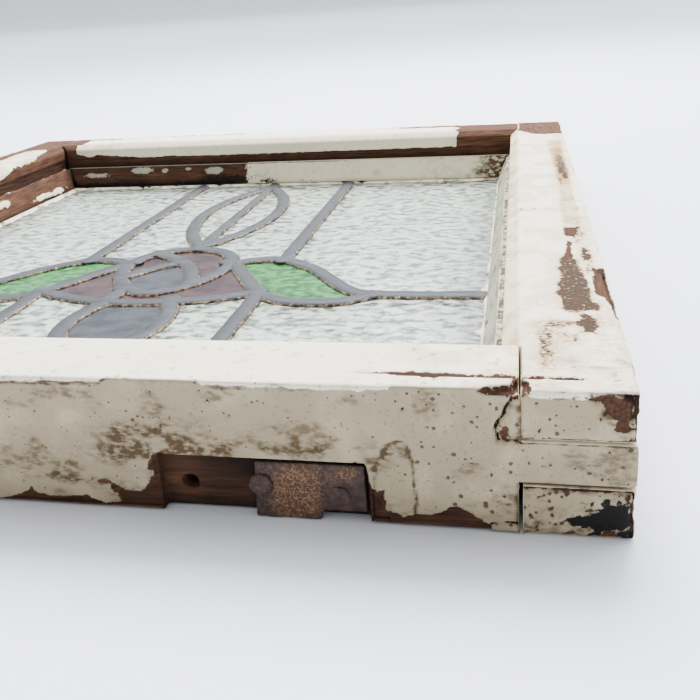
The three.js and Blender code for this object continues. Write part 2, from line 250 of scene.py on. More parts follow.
def tone(red, green, blue):
    """An sRGB colour of 0 to 255 as the linear colour that shaders take."""
    linear = [c / 255 / 12.92 if c / 255 <= 0.04045 else ((c / 255 + 0.055) / 1.055) ** 2.4
              for c in (red, green, blue)]
    return (*linear, 1)


class Shader:
    """Short calls that build one material's node tree."""

    def __init__(self, name):
        self.material = bpy.data.materials.new(name)
        self.material.use_nodes = True
        self.tree = self.material.node_tree
        self.surface = self.tree.nodes["Principled BSDF"]

    def feed(self, socket, value):
        if isinstance(value, bpy.types.NodeSocket):
            self.tree.links.new(value, socket)
        else:
            socket.default_value = value

    def node(self, kind, output, *values, **settings):
        node = self.tree.nodes.new(kind)
        named = settings.pop("named", {})
        for key, value in settings.items():
            setattr(node, key, value)
        for socket, value in zip(node.inputs, values):
            self.feed(socket, value)
        for key, value in named.items():
            self.feed(node.inputs[key], value)
        return node.outputs[output]

    def mark(self, name):
        return self.node("ShaderNodeAttribute", "Fac", attribute_name=name)

    def spread(self, size, stretch):
        """Object coordinates in which size millimetres is one unit."""
        place = self.node("ShaderNodeTexCoord", "Object")
        scale = [1 / (MM * size * part) for part in stretch]
        return self.node("ShaderNodeMapping", 0, named={"Vector": place, "Scale": scale})

    def noise(self, size, detail=4, stretch=(1, 1, 1), rough=0.55):
        named = {"Vector": self.spread(size, stretch), "Scale": 1, "Detail": detail, "Roughness": rough}
        return self.node("ShaderNodeTexNoise", 0, named=named)

    def cells(self, size, output, stretch=(1, 1, 1)):
        named = {"Vector": self.spread(size, stretch), "Scale": 1}
        return self.node("ShaderNodeTexVoronoi", output, named=named)

    def math(self, operation, first, second=0.0):
        return self.node("ShaderNodeMath", 0, first, second, operation=operation)

    def step(self, value, low, high, start=0.0, end=1.0):
        """start below low, end above high and a smooth step between."""
        return self.node("ShaderNodeMapRange", 0, value, low, high, start, end,
                         interpolation_type="SMOOTHSTEP")

    def mix(self, share, first, second):
        node = self.tree.nodes.new("ShaderNodeMix")
        node.data_type = "RGBA"
        self.feed(node.inputs[0], share)
        self.feed(node.inputs[6], first)
        self.feed(node.inputs[7], second)
        return node.outputs[2]

    def ramp(self, value, *stops):
        """A colour ramp from (place, colour) stops."""
        node = self.tree.nodes.new("ShaderNodeValToRGB")
        self.feed(node.inputs[0], value)
        for index, (place, colour) in enumerate(stops):
            if index < 2:
                stop = node.color_ramp.elements[index]
                stop.position = place
            else:
                stop = node.color_ramp.elements.new(place)
            stop.color = colour
        return node.outputs[0]

    def bump(self, height, depth):
        """Relief of depth millimetres for a height from 0 to 1."""
        named = {"Height": height, "Distance": depth * MM, "Strength": 1.0}
        self.feed(self.surface.inputs["Normal"], self.node("ShaderNodeBump", 0, named=named))

    def set(self, **values):
        for key, value in values.items():
            self.feed(self.surface.inputs[key.replace("_", " ")], value)
        return self.material


def timber_material(name, grain, paint=(244, 236, 214), old_paint=(158, 146, 120)):
    """Old paint over softwood, from the marks on the piece. grain stretches the wood's figure."""
    s = Shader(name)
    fine = s.noise(1.3, 6, rough=0.65)
    soft = s.noise(16, 4)
    figure = s.noise(1.1, 5, grain)
    cover = s.math("ADD", s.mark("cover"), s.step(fine, 0.2, 0.8, -0.45, 0.45))
    painted = s.step(cover, -0.08, 0.1)

    wood = s.ramp(
        figure, (0.25, tone(36, 25, 21)), (0.45, tone(76, 50, 40)), (0.62, tone(100, 70, 55)),
        (0.85, tone(138, 108, 86))
    )
    wood = s.mix(s.step(soft, 0.35, 0.7, 0.0, 0.55), wood, tone(96, 68, 46))
    wood = s.mix(s.mark("dark"), wood, tone(30, 22, 19))

    coat = s.step(s.math("ADD", s.mark("coat"), s.step(fine, 0.2, 0.8, -0.3, 0.3)), -0.1, 0.1)
    colour = s.mix(coat, tone(*old_paint), tone(*paint))
    colour = s.mix(s.step(soft, 0.45, 0.75, 0.0, 0.3), colour, tone(222, 208, 174))
    colour = s.mix(s.step(s.noise(5, 6), 0.52, 0.8, 0.0, 0.4), colour, tone(164, 150, 124))
    tan = s.math("MULTIPLY", s.mark("tan"), s.step(s.noise(2.5, 5), 0.25, 0.6, 0.55, 1.0))
    colour = s.mix(tan, colour, tone(172, 134, 88))
    smear = s.math("MULTIPLY", s.mark("grime_and_shade"), s.step(s.noise(1.8, 6, (1.8, 1.8, 1)), 0.3, 0.65, 0.25, 1.3))
    colour = s.mix(s.step(smear, 0.0, 1.0), colour, tone(82, 66, 46))
    crackle = s.noise(0.9, 4, (1.9, 1.0, 1.0))
    flaked = s.step(s.math("SUBTRACT", s.math("MULTIPLY", s.mark("worn"), 0.64), crackle), -0.06, 0.04)
    colour = s.mix(s.math("MULTIPLY", s.mark("worn"), s.step(s.noise(1.6, 4), 0.35, 0.55)), colour,
                   tone(170, 128, 76))
    colour = s.mix(flaked, colour, tone(56, 36, 20))

    speck = s.math("ADD", s.cells(1.7, "Distance"), s.step(s.noise(0.6, 3), 0.25, 0.75, -0.1, 0.1))
    chance = s.node("ShaderNodeSeparateColor", 0, s.cells(1.7, "Color"))
    radius = s.math("MULTIPLY", s.math("POWER", chance, 4.0), s.math("MULTIPLY", s.mark("pits"), 0.42))
    pit = s.step(s.math("SUBTRACT", radius, speck), -0.03, 0.05)
    colour = s.mix(s.math("MULTIPLY", pit, 0.85), colour, tone(66, 50, 38))
    dust = s.math("MULTIPLY", s.mark("pits"), s.step(s.noise(0.55, 3), 0.6, 0.72))
    colour = s.mix(s.math("MULTIPLY", dust, 0.7), colour, tone(112, 92, 70))

    edge = s.step(s.math("ABSOLUTE", cover), 0.0, 0.35, 0.65, 0.0)
    colour = s.mix(painted, wood, s.mix(edge, colour, tone(92, 72, 54)))
    soot = s.step(s.math("ADD", s.mark("soot"), s.step(fine, 0.25, 0.75, -0.4, 0.4)), 0.35, 0.6)
    colour = s.mix(soot, colour, tone(20, 19, 19))

    brushed = s.noise(0.8, 3, grain)
    height = s.math("MULTIPLY", painted, 1.6)
    height = s.math("ADD", height, s.math("MULTIPLY", brushed, 0.35))
    height = s.math("ADD", height, s.math("MULTIPLY", fine, 0.5))
    height = s.math("SUBTRACT", height, s.math("MULTIPLY", pit, 1.1))
    height = s.math("SUBTRACT", height, s.math("MULTIPLY", flaked, 0.8))
    s.bump(height, 0.22)
    roughness = s.step(painted, 0.0, 1.0, 0.95, 0.75)
    return s.set(Base_Color=colour, Roughness=roughness, Specular_IOR_Level=0.15)


def lead_material():
    s = Shader("oxidised_lead")
    soft = s.noise(7, 5)
    fine = s.noise(1.0, 5)
    colour = s.ramp(soft, (0.3, tone(34, 38, 43)), (0.55, tone(52, 57, 64)), (0.8, tone(78, 84, 94)))
    colour = s.mix(s.step(fine, 0.55, 0.75, 0.0, 0.6), colour, tone(58, 58, 58))
    rim = s.math("ADD", s.mark("rim"), s.step(fine, 0.3, 0.7, -0.12, 0.12))
    cement = s.ramp(s.noise(2.2, 4), (0.42, tone(44, 38, 33)), (0.55, tone(150, 124, 96)),
                    (0.72, tone(212, 196, 166)))
    colour = s.mix(s.step(rim, 0.8, 0.9), colour, cement)
    s.bump(s.noise(1.6, 5), 0.25)
    return s.set(Base_Color=colour, Metallic=0.15, Roughness=s.step(soft, 0.3, 0.7, 0.5, 0.68),
                 Specular_IOR_Level=0.3)


def glass_material(name, pale, deep, opacity, ripple, roughness, sheen):
    """Cathedral glass: see-through, with its colour varied by soft mottles. On the clear glass the deep
    mottles are painted refraction of its ripples.
    """
    s = Shader(name)
    mottle = s.noise(ripple, 4, (1.5, 1.0, 1.0))
    colour = s.ramp(mottle, (0.4, tone(*deep)), (0.56, tone(*pale)))
    # The piece's mark darkens the glass near the frame: dirt and painted shade of the frame.
    dirt_and_shade = s.math("MULTIPLY", s.mark("grime_and_shade"), s.step(s.noise(9, 5), 0.3, 0.7, 0.35, 1.0))
    colour = s.mix(dirt_and_shade, colour, tone(82, 84, 74))
    s.bump(s.noise(ripple * 0.5, 3, (1.5, 1.0, 1.0)), 0.6)
    return s.set(Base_Color=colour, Roughness=roughness, IOR=1.52, Alpha=opacity, Specular_IOR_Level=sheen)


def iron_material():
    s = Shader("rusted_iron")
    fine = s.noise(0.7, 5)
    colour = s.ramp(s.noise(2.4, 6), (0.3, tone(34, 27, 25)), (0.55, tone(62, 46, 40)),
                    (0.8, tone(92, 66, 52)))
    threads = s.step(s.math("ABSOLUTE", s.math("SUBTRACT", s.noise(1.5, 4), 0.5)), 0.0, 0.045, 1.0, 0.0)
    lit = s.math("MULTIPLY", s.mark("rust"), s.math("MAXIMUM", threads, s.step(fine, 0.56, 0.7, 0.0, 0.7)))
    colour = s.mix(s.step(s.mark("rust"), 0.2, 1.0, 0.0, 0.75), colour, tone(84, 56, 40))
    colour = s.mix(lit, colour, tone(150, 112, 76))
    s.bump(s.noise(0.9, 6), 0.5)
    return s.set(Base_Color=colour, Metallic=0.25, Roughness=0.62)


# ---- timber members ----

class Surface:
    """The points of one timber piece with the marks that its material reads.

    cover and coat are distances in millimetres, above 0 where there is paint and where the
    newer white coat lies over the older paint. The other marks run from 0 to 1."""

    def __init__(self, points, normals, seed):
        self.points = points
        self.x, self.y, self.h = points.T
        self.nx, self.ny, self.nz = normals.T
        self.seed = seed
        self.cover = np.ones(len(points))
        self.coat = np.ones(len(points))
        self.hollow = np.zeros(len(points))
        self.marks = {mark: np.zeros(len(points)) for mark in ("grime_and_shade", "worn", "tan", "dark", "soot")}
        self.marks["pits"] = np.full(len(points), 0.2)

    def noise(self, size, octaves=4, stretch=(1, 1, 1)):
        self.seed += 10
        return fractal(self.points, size, self.seed, octaves, stretch)

    def strip(self, where, distance):
        """Take the paint off where a distance is below 0."""
        self.cover = np.where(where, np.minimum(self.cover, distance), self.cover)

    def add(self, mark, where, amount):
        self.marks[mark] = np.clip(self.marks[mark] + np.where(where, amount, 0), 0, 1)

    def crack(self, where, distance, width, depth):
        """A dark groove along a line."""
        self.hollow += np.where(where, depth * np.exp(-(distance / width) ** 2), 0)
        groove = np.where(where, width * 0.55 - distance, -9)
        self.cover = np.minimum(self.cover, -2 * groove)
        self.add("dark", where, 0.9 * np.exp(-(distance / (1.4 * width)) ** 2))

    def settle(self, normals, grain):
        """The points with the paint's thickness, the wood's figure and the hollows cut in."""
        bare = 1 - fade(self.cover, -0.35, 0.35)
        thin = 1 - fade(self.coat, -0.4, 0.4)
        figure = self.noise(1.2, 3, grain)
        depth = bare * (PAINT_DEPTH + 0.14 * (1 + figure)) + COAT_DEPTH * thin + self.hollow
        depth = depth + self.marks["worn"] * 0.12 * (1 + self.noise(1.1, 2))
        self.marks["cover"] = np.clip(self.cover, -1, 1)
        self.marks["coat"] = np.clip(self.coat, -1, 1)
        return self.points - normals * depth[:, None]


# Where a point along a side and inward from its outer face lies in plan
PLACES = {
    "bottom": lambda a, u: (a, u),
    "top": lambda a, u: (a, LENGTH - u),
    "right": lambda a, u: (HALF_WIDTH - u, a),
    "left": lambda a, u: (u - HALF_WIDTH, a),
}
MIRRORED = ("top", "left")


def member_cells(lines, flat):
    """The filled cells of a member's section, before its ends are cut."""
    along, inward, height = np.meshgrid(*[(axis[1:] + axis[:-1]) / 2 for axis in lines], indexing="ij",
                                        sparse=True)
    wall = flat + MOULDING_WIDTH
    rebate = (inward > wall - REBATE_STEP) & (height > LIP_HEIGHT) & (height < REBATE_TOP)
    filled = ((inward < wall) & ~rebate) | (height < LIP_HEIGHT)
    return filled & (along < np.inf), along, inward, height


def bevel(inward, height, flat):
    """Lower the inner arris into the moulding's straight bevel."""
    fall = MOULDING_FALL * np.clip((inward - flat) / MOULDING_WIDTH, 0, 1)
    share = np.clip((height - REBATE_TOP) / (THICKNESS - REBATE_TOP), 0, 1)
    return height - fall * share


def build_timber(name, side, lines, filled, warp, wear_of, marks_of, seed, material, slot, *nodes):
    """One timber piece: its cells bent to shape, marked, rounded and given its layers."""
    points, quads = boundary_mesh(lines, filled)
    a, u, h = warp(*points.T)
    x, y = PLACES[side](a, u)
    points = np.stack([x, y, h], axis=1)
    if side in MIRRORED:
        quads = quads[:, ::-1]
    surface = Surface(points, vertex_normals(points, quads), seed)
    marks_of(surface)
    surface.points = round_arrises(points, quads, 24, wear_of(surface))
    settled = surface.settle(vertex_normals(surface.points, quads), grain_along(side))
    return make_piece(name, settled, quads, surface.marks, material, slot, *nodes)


def grain_along(side):
    return (14, 1, 1) if side in ("bottom", "top") else (1, 14, 1)


def build_member(node, side, lines, filled, warp, wear_of, marks_of, seed):
    material = timber_material(f"{node}_paint", grain_along(side))
    name = f"{node}_timber"
    return build_timber(name, side, lines, filled, warp, wear_of, marks_of, seed, material,
                        "painted_timber", node)


def rail_warp(a, u, h):
    """Cut the mitres and the bevel of a rail."""
    hold = SHOULDER - 24
    shoulder = SHOULDER - JOINT_GAP / 2
    limit = shoulder - np.clip(u - RAIL_FLAT, 0, None)
    share = np.clip((np.abs(a) - hold) / (shoulder - hold), 0, None)
    bent = np.where((share > 0) & (u > RAIL_FLAT), np.sign(a) * (hold + share * (limit - hold)), a)
    return bent, u, bevel(u, h, RAIL_FLAT)


def stile_warp(a, u, h):
    """Cut the mitres and the bevel of a stile."""
    slide = np.clip(u - STILE_FLAT, 0, None)
    reach = 32
    near = np.where(a < RAIL_FLAT + reach, slide * (RAIL_FLAT + reach - a) / reach, 0)
    far = np.where(a > LENGTH - RAIL_FLAT - reach, slide * (a - LENGTH + RAIL_FLAT + reach) / reach, 0)
    bent = np.where(u > STILE_FLAT, a + near - far, a)
    return bent, u, bevel(u, h, STILE_FLAT)


def rail_ends(filled, along, inward, height):
    shoulder = SHOULDER - JOINT_GAP / 2
    tenon = (height > TENON_LOW) & (height < TENON_HIGH) & (inward < RAIL_FLAT)
    return filled & ((np.abs(along) < shoulder) | tenon)


def stile_ends(filled, along, inward, height):
    end = (along < RAIL_FLAT) | (along > LENGTH - RAIL_FLAT)
    slot = (height > TENON_LOW - JOINT_GAP) & (height < TENON_HIGH + JOINT_GAP)
    return filled & ~(end & (slot | (inward > STILE_FLAT)))


# The hinge edge's bare patches, as outlines of (x, height)
LEFT_TEAR = [
    (15, -2), (15, 2), (22.3, 1.2), (29.9, 2.8), (34.2, 5.8), (36.4, 3.6), (42.5, 3.1), (47.9, 3.9),
    (53.5, 3.8), (58.7, 1.6), (64.9, 2.7), (62.9, 5.8), (61.8, 8.6), (56, 10), (61.8, 9.9), (64.4, 7.8),
    (67.3, 6.8), (71.5, 6.8), (75.5, 10.6), (76.6, 12.5), (75.3, 15.9), (77, 19.5), (80, 20.4), (81, -2),
]
RIGHT_TEAR = [
    (139, 19.9), (141.6, 16.8), (143.1, 11.9), (144.5, 11.1), (146.6, 11.7), (146.5, 4.9), (150.4, 4.3),
    (151.8, 3.1), (154, 4.1), (159.8, 4.1), (162.7, 5.2), (164.9, 7), (167.4, 8), (170.2, 6.5),
    (171.9, 4.6), (174, 3), (176.4, 1.9), (176.7, -2), (139, -2),
]
LOOSE_PATCH = [
    (144, 12), (144.3, 19.8), (146.4, 22), (147.5, 25.3), (149.4, 27.2), (151.9, 27.9), (153.3, 27.2),
    (154.2, 24.4), (155, 21.7), (155, 18.4), (155.3, 13.5), (155.7, 10.2), (155.2, 4.5),
]
JOINT_CRACK = [(182.5, 42.4), (180.6, 39.3), (179.9, 37), (178.2, 34.6), (177.8, 33.4), (178.5, 29.6)]
TENON_LINE = [(178.5, 29.6), (184.6, 29.5)]
FOOT_CRACK = [(176.4, 2.6), (180, 3.3), (184.6, 3.5)]
CURVED_CRACK = [(93.9, 45.2), (94.4, 42), (96.7, 39), (100, 35.6), (103.5, 33.5)]
GOUGE = [
    (172.7, 44.2), (176, 47), (187, 47), (186.9, 45.1), (186.1, 43.6), (184.2, 43.1), (182.5, 42.2),
    (181.9, 43.2), (177.3, 43.3), (174.7, 43.8),
]
GOUGE_PLAN = [(172.7, -1), (175.3, 1.2), (181.9, 2.9), (183.2, 6.5), (184.9, 7.3), (186.2, 4.4), (187, -1)]


def in_gouge(x, y, h):
    plan = inside_distance(x, y, GOUGE_PLAN)
    front = inside_distance(x, h, GOUGE)
    return np.minimum(plan, front)


def mark_gouge(s):
    distance = in_gouge(s.x, np.maximum(s.y, 0), s.h)
    near = (s.x > 170) & (s.x < 189) & (s.y < 10) & (s.h > 40)
    s.strip(near, -distance - 0.15 + 0.5 * s.noise(1.5))
    s.add("dark", near, 0.75 * fade(distance + 0.5 * s.noise(1.2, 3, (8, 1, 1)), -0.4, 1.0))


def wear_stripe(s, top):
    """The stripe worn through the white coat along the face's hinge edge."""
    middle = np.interp(s.x, [135, 147, 158, 170, 184, 196, 205], [7.6, 8.3, 7.8, 7.6, 7.3, 7.4, 6.6])
    width = np.interp(s.x, [134, 140, 147, 158, 170, 184, 198, 206],
                      [-0.6, 0.3, 0.9, 1.6, 0.9, 0.8, 0.6, -0.8])
    distance = np.abs(s.y - middle) - width + 0.8 * s.noise(2.0, 4, (2.5, 1, 1))
    s.strip(top, distance + 0.25)
    s.add("dark", top, 0.5 * (1 - fade(distance, -0.5, 1.0)))
    s.add("tan", top & (s.x > 130), 0.35 * fade(s.x, 130, 165) * fade(s.noise(9), -0.3, 0.6))
    s.add("grime_and_shade", top & (s.x > 130), 0.3 * blob(s.x, s.y, (172, 5), (28, 7)) * fade(s.noise(4), -0.3, 0.5))


def mark_rail_bottom(s):
    front = (s.ny < -0.4) & (s.y < 0.9)
    top = s.nz > 0.4
    under = s.nz < -0.4
    ragged = s.noise(2.4)
    places = [-215, -60, 20, 32, 56, 64, 67, 69, 94, 96, 141, 149.5, 150.5, 215]
    heights = [43.4, 42.8, 43.3, 43.2, 43.5, 43.8, 46.0, 46.3, 46.3, 43.6, 43.3, 43.6, 46.3, 46.3]
    coat_edge = np.interp(s.x, places, heights)
    s.coat = np.where(front, s.h - coat_edge + 0.35 * ragged, s.coat)
    s.coat = np.where(under | (s.nx > 0.4) & (s.x > 184), -1, s.coat)

    s.strip(front, -inside_distance(s.x, s.h, LEFT_TEAR) + 0.5 * ragged)
    s.strip(front, -inside_distance(s.x, s.h, RIGHT_TEAR) + 0.5 * ragged)
    s.strip(front & (s.x < 18), s.h - 3 + 1.6 * s.noise(9) + 0.5 * ragged)
    s.strip(under, 2.5 * s.noise(14) + ragged + 1.2 - 4 * (s.y < 5))
    recess = (
        (np.abs(s.x) > RECESS_NEAR - 0.3) & (np.abs(s.x) < RECESS_FAR + 0.3)
        & (s.h < RECESS_HEIGHT + 0.3)
    )
    recess &= (s.y > 0.4) & (s.y < RAIL_FLAT)
    s.strip(recess, -1)
    s.add("dark", recess, 0.78 - 0.35 * blob(s.x, s.h, (84, 10), (7, 8)) + 0.3 * s.noise(8, 4, (5, 1, 1)))
    dirt_line = fade(np.abs(s.h - coat_edge + 0.5), 1.1, 0.2) * fade(s.noise(7, 4, (3, 1, 1)), -0.4, 0.5)
    s.add("grime_and_shade", front, dirt_line)
    tear = front & (s.cover < 0)
    s.add("dark", tear, 0.45 + 0.3 * s.noise(5, 3, (4, 1, 1)))
    s.hollow += np.where(front, 1.3 * fade(inside_distance(s.x, s.h, RIGHT_TEAR), 0, 1.5) * (s.x < 147.5), 0)
    s.hollow += np.where(front, 0.9 * fade(inside_distance(s.x, s.h, LEFT_TEAR), 0, 2.0), 0)

    mark_gouge(s)
    s.crack(front, line_distance(s.x, s.h, JOINT_CRACK) + 0.12 * ragged, 0.55, 1.2)
    s.crack(front, line_distance(s.x, s.h, TENON_LINE), 0.45, 1.0)
    s.crack(front, line_distance(s.x, s.h, FOOT_CRACK) + 0.1 * ragged, 0.4, 0.7)
    # Painted shade in the seams where the tenon's edges meet the stile.
    shade = fade(s.x, SHOULDER - 2, SHOULDER) * (fade(s.h, TENON_HIGH - 0.8, TENON_HIGH)
                                                 + fade(s.h, TENON_LOW + 0.8, TENON_LOW))
    s.add("grime_and_shade", front, 0.8 * shade)
    s.crack(front, line_distance(s.x, s.h, CURVED_CRACK) + 0.1 * ragged, 0.34, 0.35)
    patch = line_distance(s.x, s.h, LOOSE_PATCH) + 0.06 * ragged
    s.add("dark", front, 0.9 * np.exp(-(patch / 0.5) ** 2))
    s.add("grime_and_shade", front, np.exp(-(patch / 0.5) ** 2))
    s.hollow += np.where(front, 0.3 * np.exp(-(patch / 0.5) ** 2), 0)
    chip = blob(s.x, s.h, (180.2, 31.8), (1.3, 2.2))
    s.strip(front, 0.5 - chip)
    s.add("dark", front, 0.2 * fade(chip, 0.4, 0.6))

    smear = 1.2 * blob(s.x, s.h, (77, 20.5), (10, 4.5)) + 0.8 * blob(s.x, s.h, (92, 23), (30, 7))
    smear += 0.5 * blob(s.x, s.h, (68, 22), (12, 6)) + 0.6 * blob(s.x, s.h, (143, 22), (6, 5))
    smear += 0.55 * blob(s.x, s.h, (42, 10.6), (16, 1.6)) + 0.35 * blob(s.x, s.h, (124, 23), (22, 4))
    smear += 0.5 * blob(s.x, s.h, (181, 6), (8, 3.5)) + 0.3 * blob(s.x, s.h, (80, 31), (14, 6))
    s.add("grime_and_shade", front, smear * fade(s.noise(4, 4, (1.8, 1, 1)), -0.7, 0.6))
    s.add("grime_and_shade", front, 0.4 * fade(s.noise(3, 4, (3, 1, 1)), 0.1, 0.9) * fade(s.h, 24, 4))
    s.add("grime_and_shade", front, 0.5 * fade(s.noise(5, 5, (2, 1, 1)), 0.1, 0.8))
    pits = 0.5 + 0.5 * fade(s.x, 140, 165) + 0.35 * blob(s.x, s.h, (84, 30), (16, 8))
    s.marks["pits"] = np.where(front, pits, 0.12)
    flecks = fade(s.noise(1.5, 2, (1.8, 1, 1)), 0.72, 1.0)
    s.add("tan", top, 0.8 * flecks)
    wear_stripe(s, top)
    nails = [(41.1, 32.7), (55.2, 37.5), (153.1, 37.9), (190.5, 22.1), (81, 30.4), (77.9, 32.4)]
    for nail in nails:
        s.crack(front, np.hypot(s.x - nail[0], s.h - nail[1]), 0.5, 0.8)


def wear_rail_bottom(s):
    wear = np.full(len(s.x), 0.09)
    wear = np.where((s.h > THICKNESS - 1) & (s.y < 1) & (s.x < 170), 0.26, wear)
    wear = np.where((s.h < 6) & (s.y < 3), 0.2, wear)
    joint = (np.abs(s.x) > SHOULDER - 1) & (s.h > TENON_HIGH) & (s.y < 2) & (s.h < 42)
    wear = np.where(joint, 0.0, wear)
    return np.where(s.x > HALF_WIDTH - 2, 0.5, wear)


def build_rail_bottom():
    lines = (
        grid_lines(-HALF_WIDTH, (0, 2.4), (20, 1.4), (RECESS_NEAR, 0.75), (RECESS_FAR, 0.75), (170, 0.7),
                   (SHOULDER - JOINT_GAP / 2, 0.5), (SHOULDER + 0.3, 0.5), (HALF_WIDTH, 0.75)),
        grid_lines(0, (RECESS_DEPTH, 0.58), (RAIL_FLAT, 0.9), (RAIL_FLAT + MOULDING_WIDTH - REBATE_STEP, 1.1),
                   (RAIL_FLAT + MOULDING_WIDTH, 1.2), (SIGHT_Y, 3)),
        grid_lines(0, (LIP_HEIGHT, 0.7), (TENON_LOW, 0.8), (RECESS_HEIGHT, 0.8), (TENON_HIGH, 0.8),
                   (REBATE_TOP, 0.8),
                   (41, 0.8), (THICKNESS, 0.5)),
    )
    filled, along, inward, height = member_cells(lines, RAIL_FLAT)
    filled = rail_ends(filled, along, inward, height)
    side = np.abs(along)
    filled &= ~((side > RECESS_NEAR) & (side < RECESS_FAR) & (inward < RECESS_DEPTH)
                & (height < RECESS_HEIGHT))
    hole = ((side - SCREW_HOLE[0]) / 2.3) ** 2 + ((height - SCREW_HOLE[1]) / 1.8) ** 2 < 1
    filled &= ~(hole & (inward < 12))
    shape = filled.shape
    mids = [np.broadcast_to(axis, shape)[filled] for axis in (along, inward, height)]
    cut = in_gouge(*mids) > 0.1
    filled[filled] = ~cut

    def warp(a, u, h):
        a, u, h = rail_warp(a, u, h)
        shoulder = (np.abs(a) > SHOULDER - 0.4) & (np.abs(a) < SHOULDER) & (u < RAIL_FLAT)
        a = np.where(shoulder & (h > TENON_HIGH) & (h < 42) & (u < 3), np.sign(a) * (SHOULDER + 0.2), a)
        return np.where(shoulder & (h < TENON_LOW), a - np.sign(a) * 0.45, a), u, h

    return build_member("rail_bottom", "bottom", lines, filled, warp, wear_rail_bottom, mark_rail_bottom, 100)


# The right stile's face, as outlines of (x, y)
TAN_STRIP = [
    (202.8, 356), (212.1, 356), (212, 347.7), (210.7, 287.8), (210.8, 226.9), (210.9, 188.8),
    (211.3, 167.6), (209.6, 152.6), (203, 152.9), (203.3, 170.3), (203.3, 189.4), (204.8, 227.6),
    (203.9, 288.8),
]
DARK_PATCHES = [
    [(202.8, 151), (209.5, 150.5), (206.4, 136.9), (203.2, 137)],
    [(203.5, 131.4), (204.9, 129.5), (204.2, 117.2), (204.7, 108.9), (200.7, 108.9), (202.2, 117.2)],
]
CRACKLE = [
    (198.7, 107.4), (201.4, 112.2), (205.9, 105.7), (206.3, 96.4), (208.2, 84.9), (208.6, 74.2),
    (209, 54.9), (198.7, 56), (196.8, 70.2), (197.3, 86.3),
]
OUTER_BARE = [
    (210.5, 96.4), (210.3, 89.1), (209.2, 80.8), (209.3, 76.8), (209.2, 70.4), (212, 67), (213.2, 60),
    (214, 50), (218, 44), (218, 97.5),
]
FAR_BARE = [(184, 401), (188, 396), (194, 384), (201.2, 380.4), (213.9, 383.1), (218, 384), (218, 441),
            (184, 441)]
SOOT = [
    (194.2, 4.9), (199.6, 7.6), (203.3, 8.3), (206.8, 10.8), (212.2, 10.7), (213.8, 6.8), (212.8, 3.2),
    (204.5, 2.5), (200.5, 3.6),
]
ROT = [
    (202.4, 44.6), (203.4, 42.6), (205.9, 41.5), (205, 39), (210.2, 33), (212.6, 31), (213, 44.6),
]


def mark_far_end(s):
    """Old paint and dirty end grain where a stile is cut across at the far edge."""
    far_end = s.ny > 0.4
    s.coat = np.where(far_end, -1, s.coat)
    s.strip(far_end, 0.4 + 1.6 * s.noise(5, 5))
    s.add("dark", far_end, 0.45)


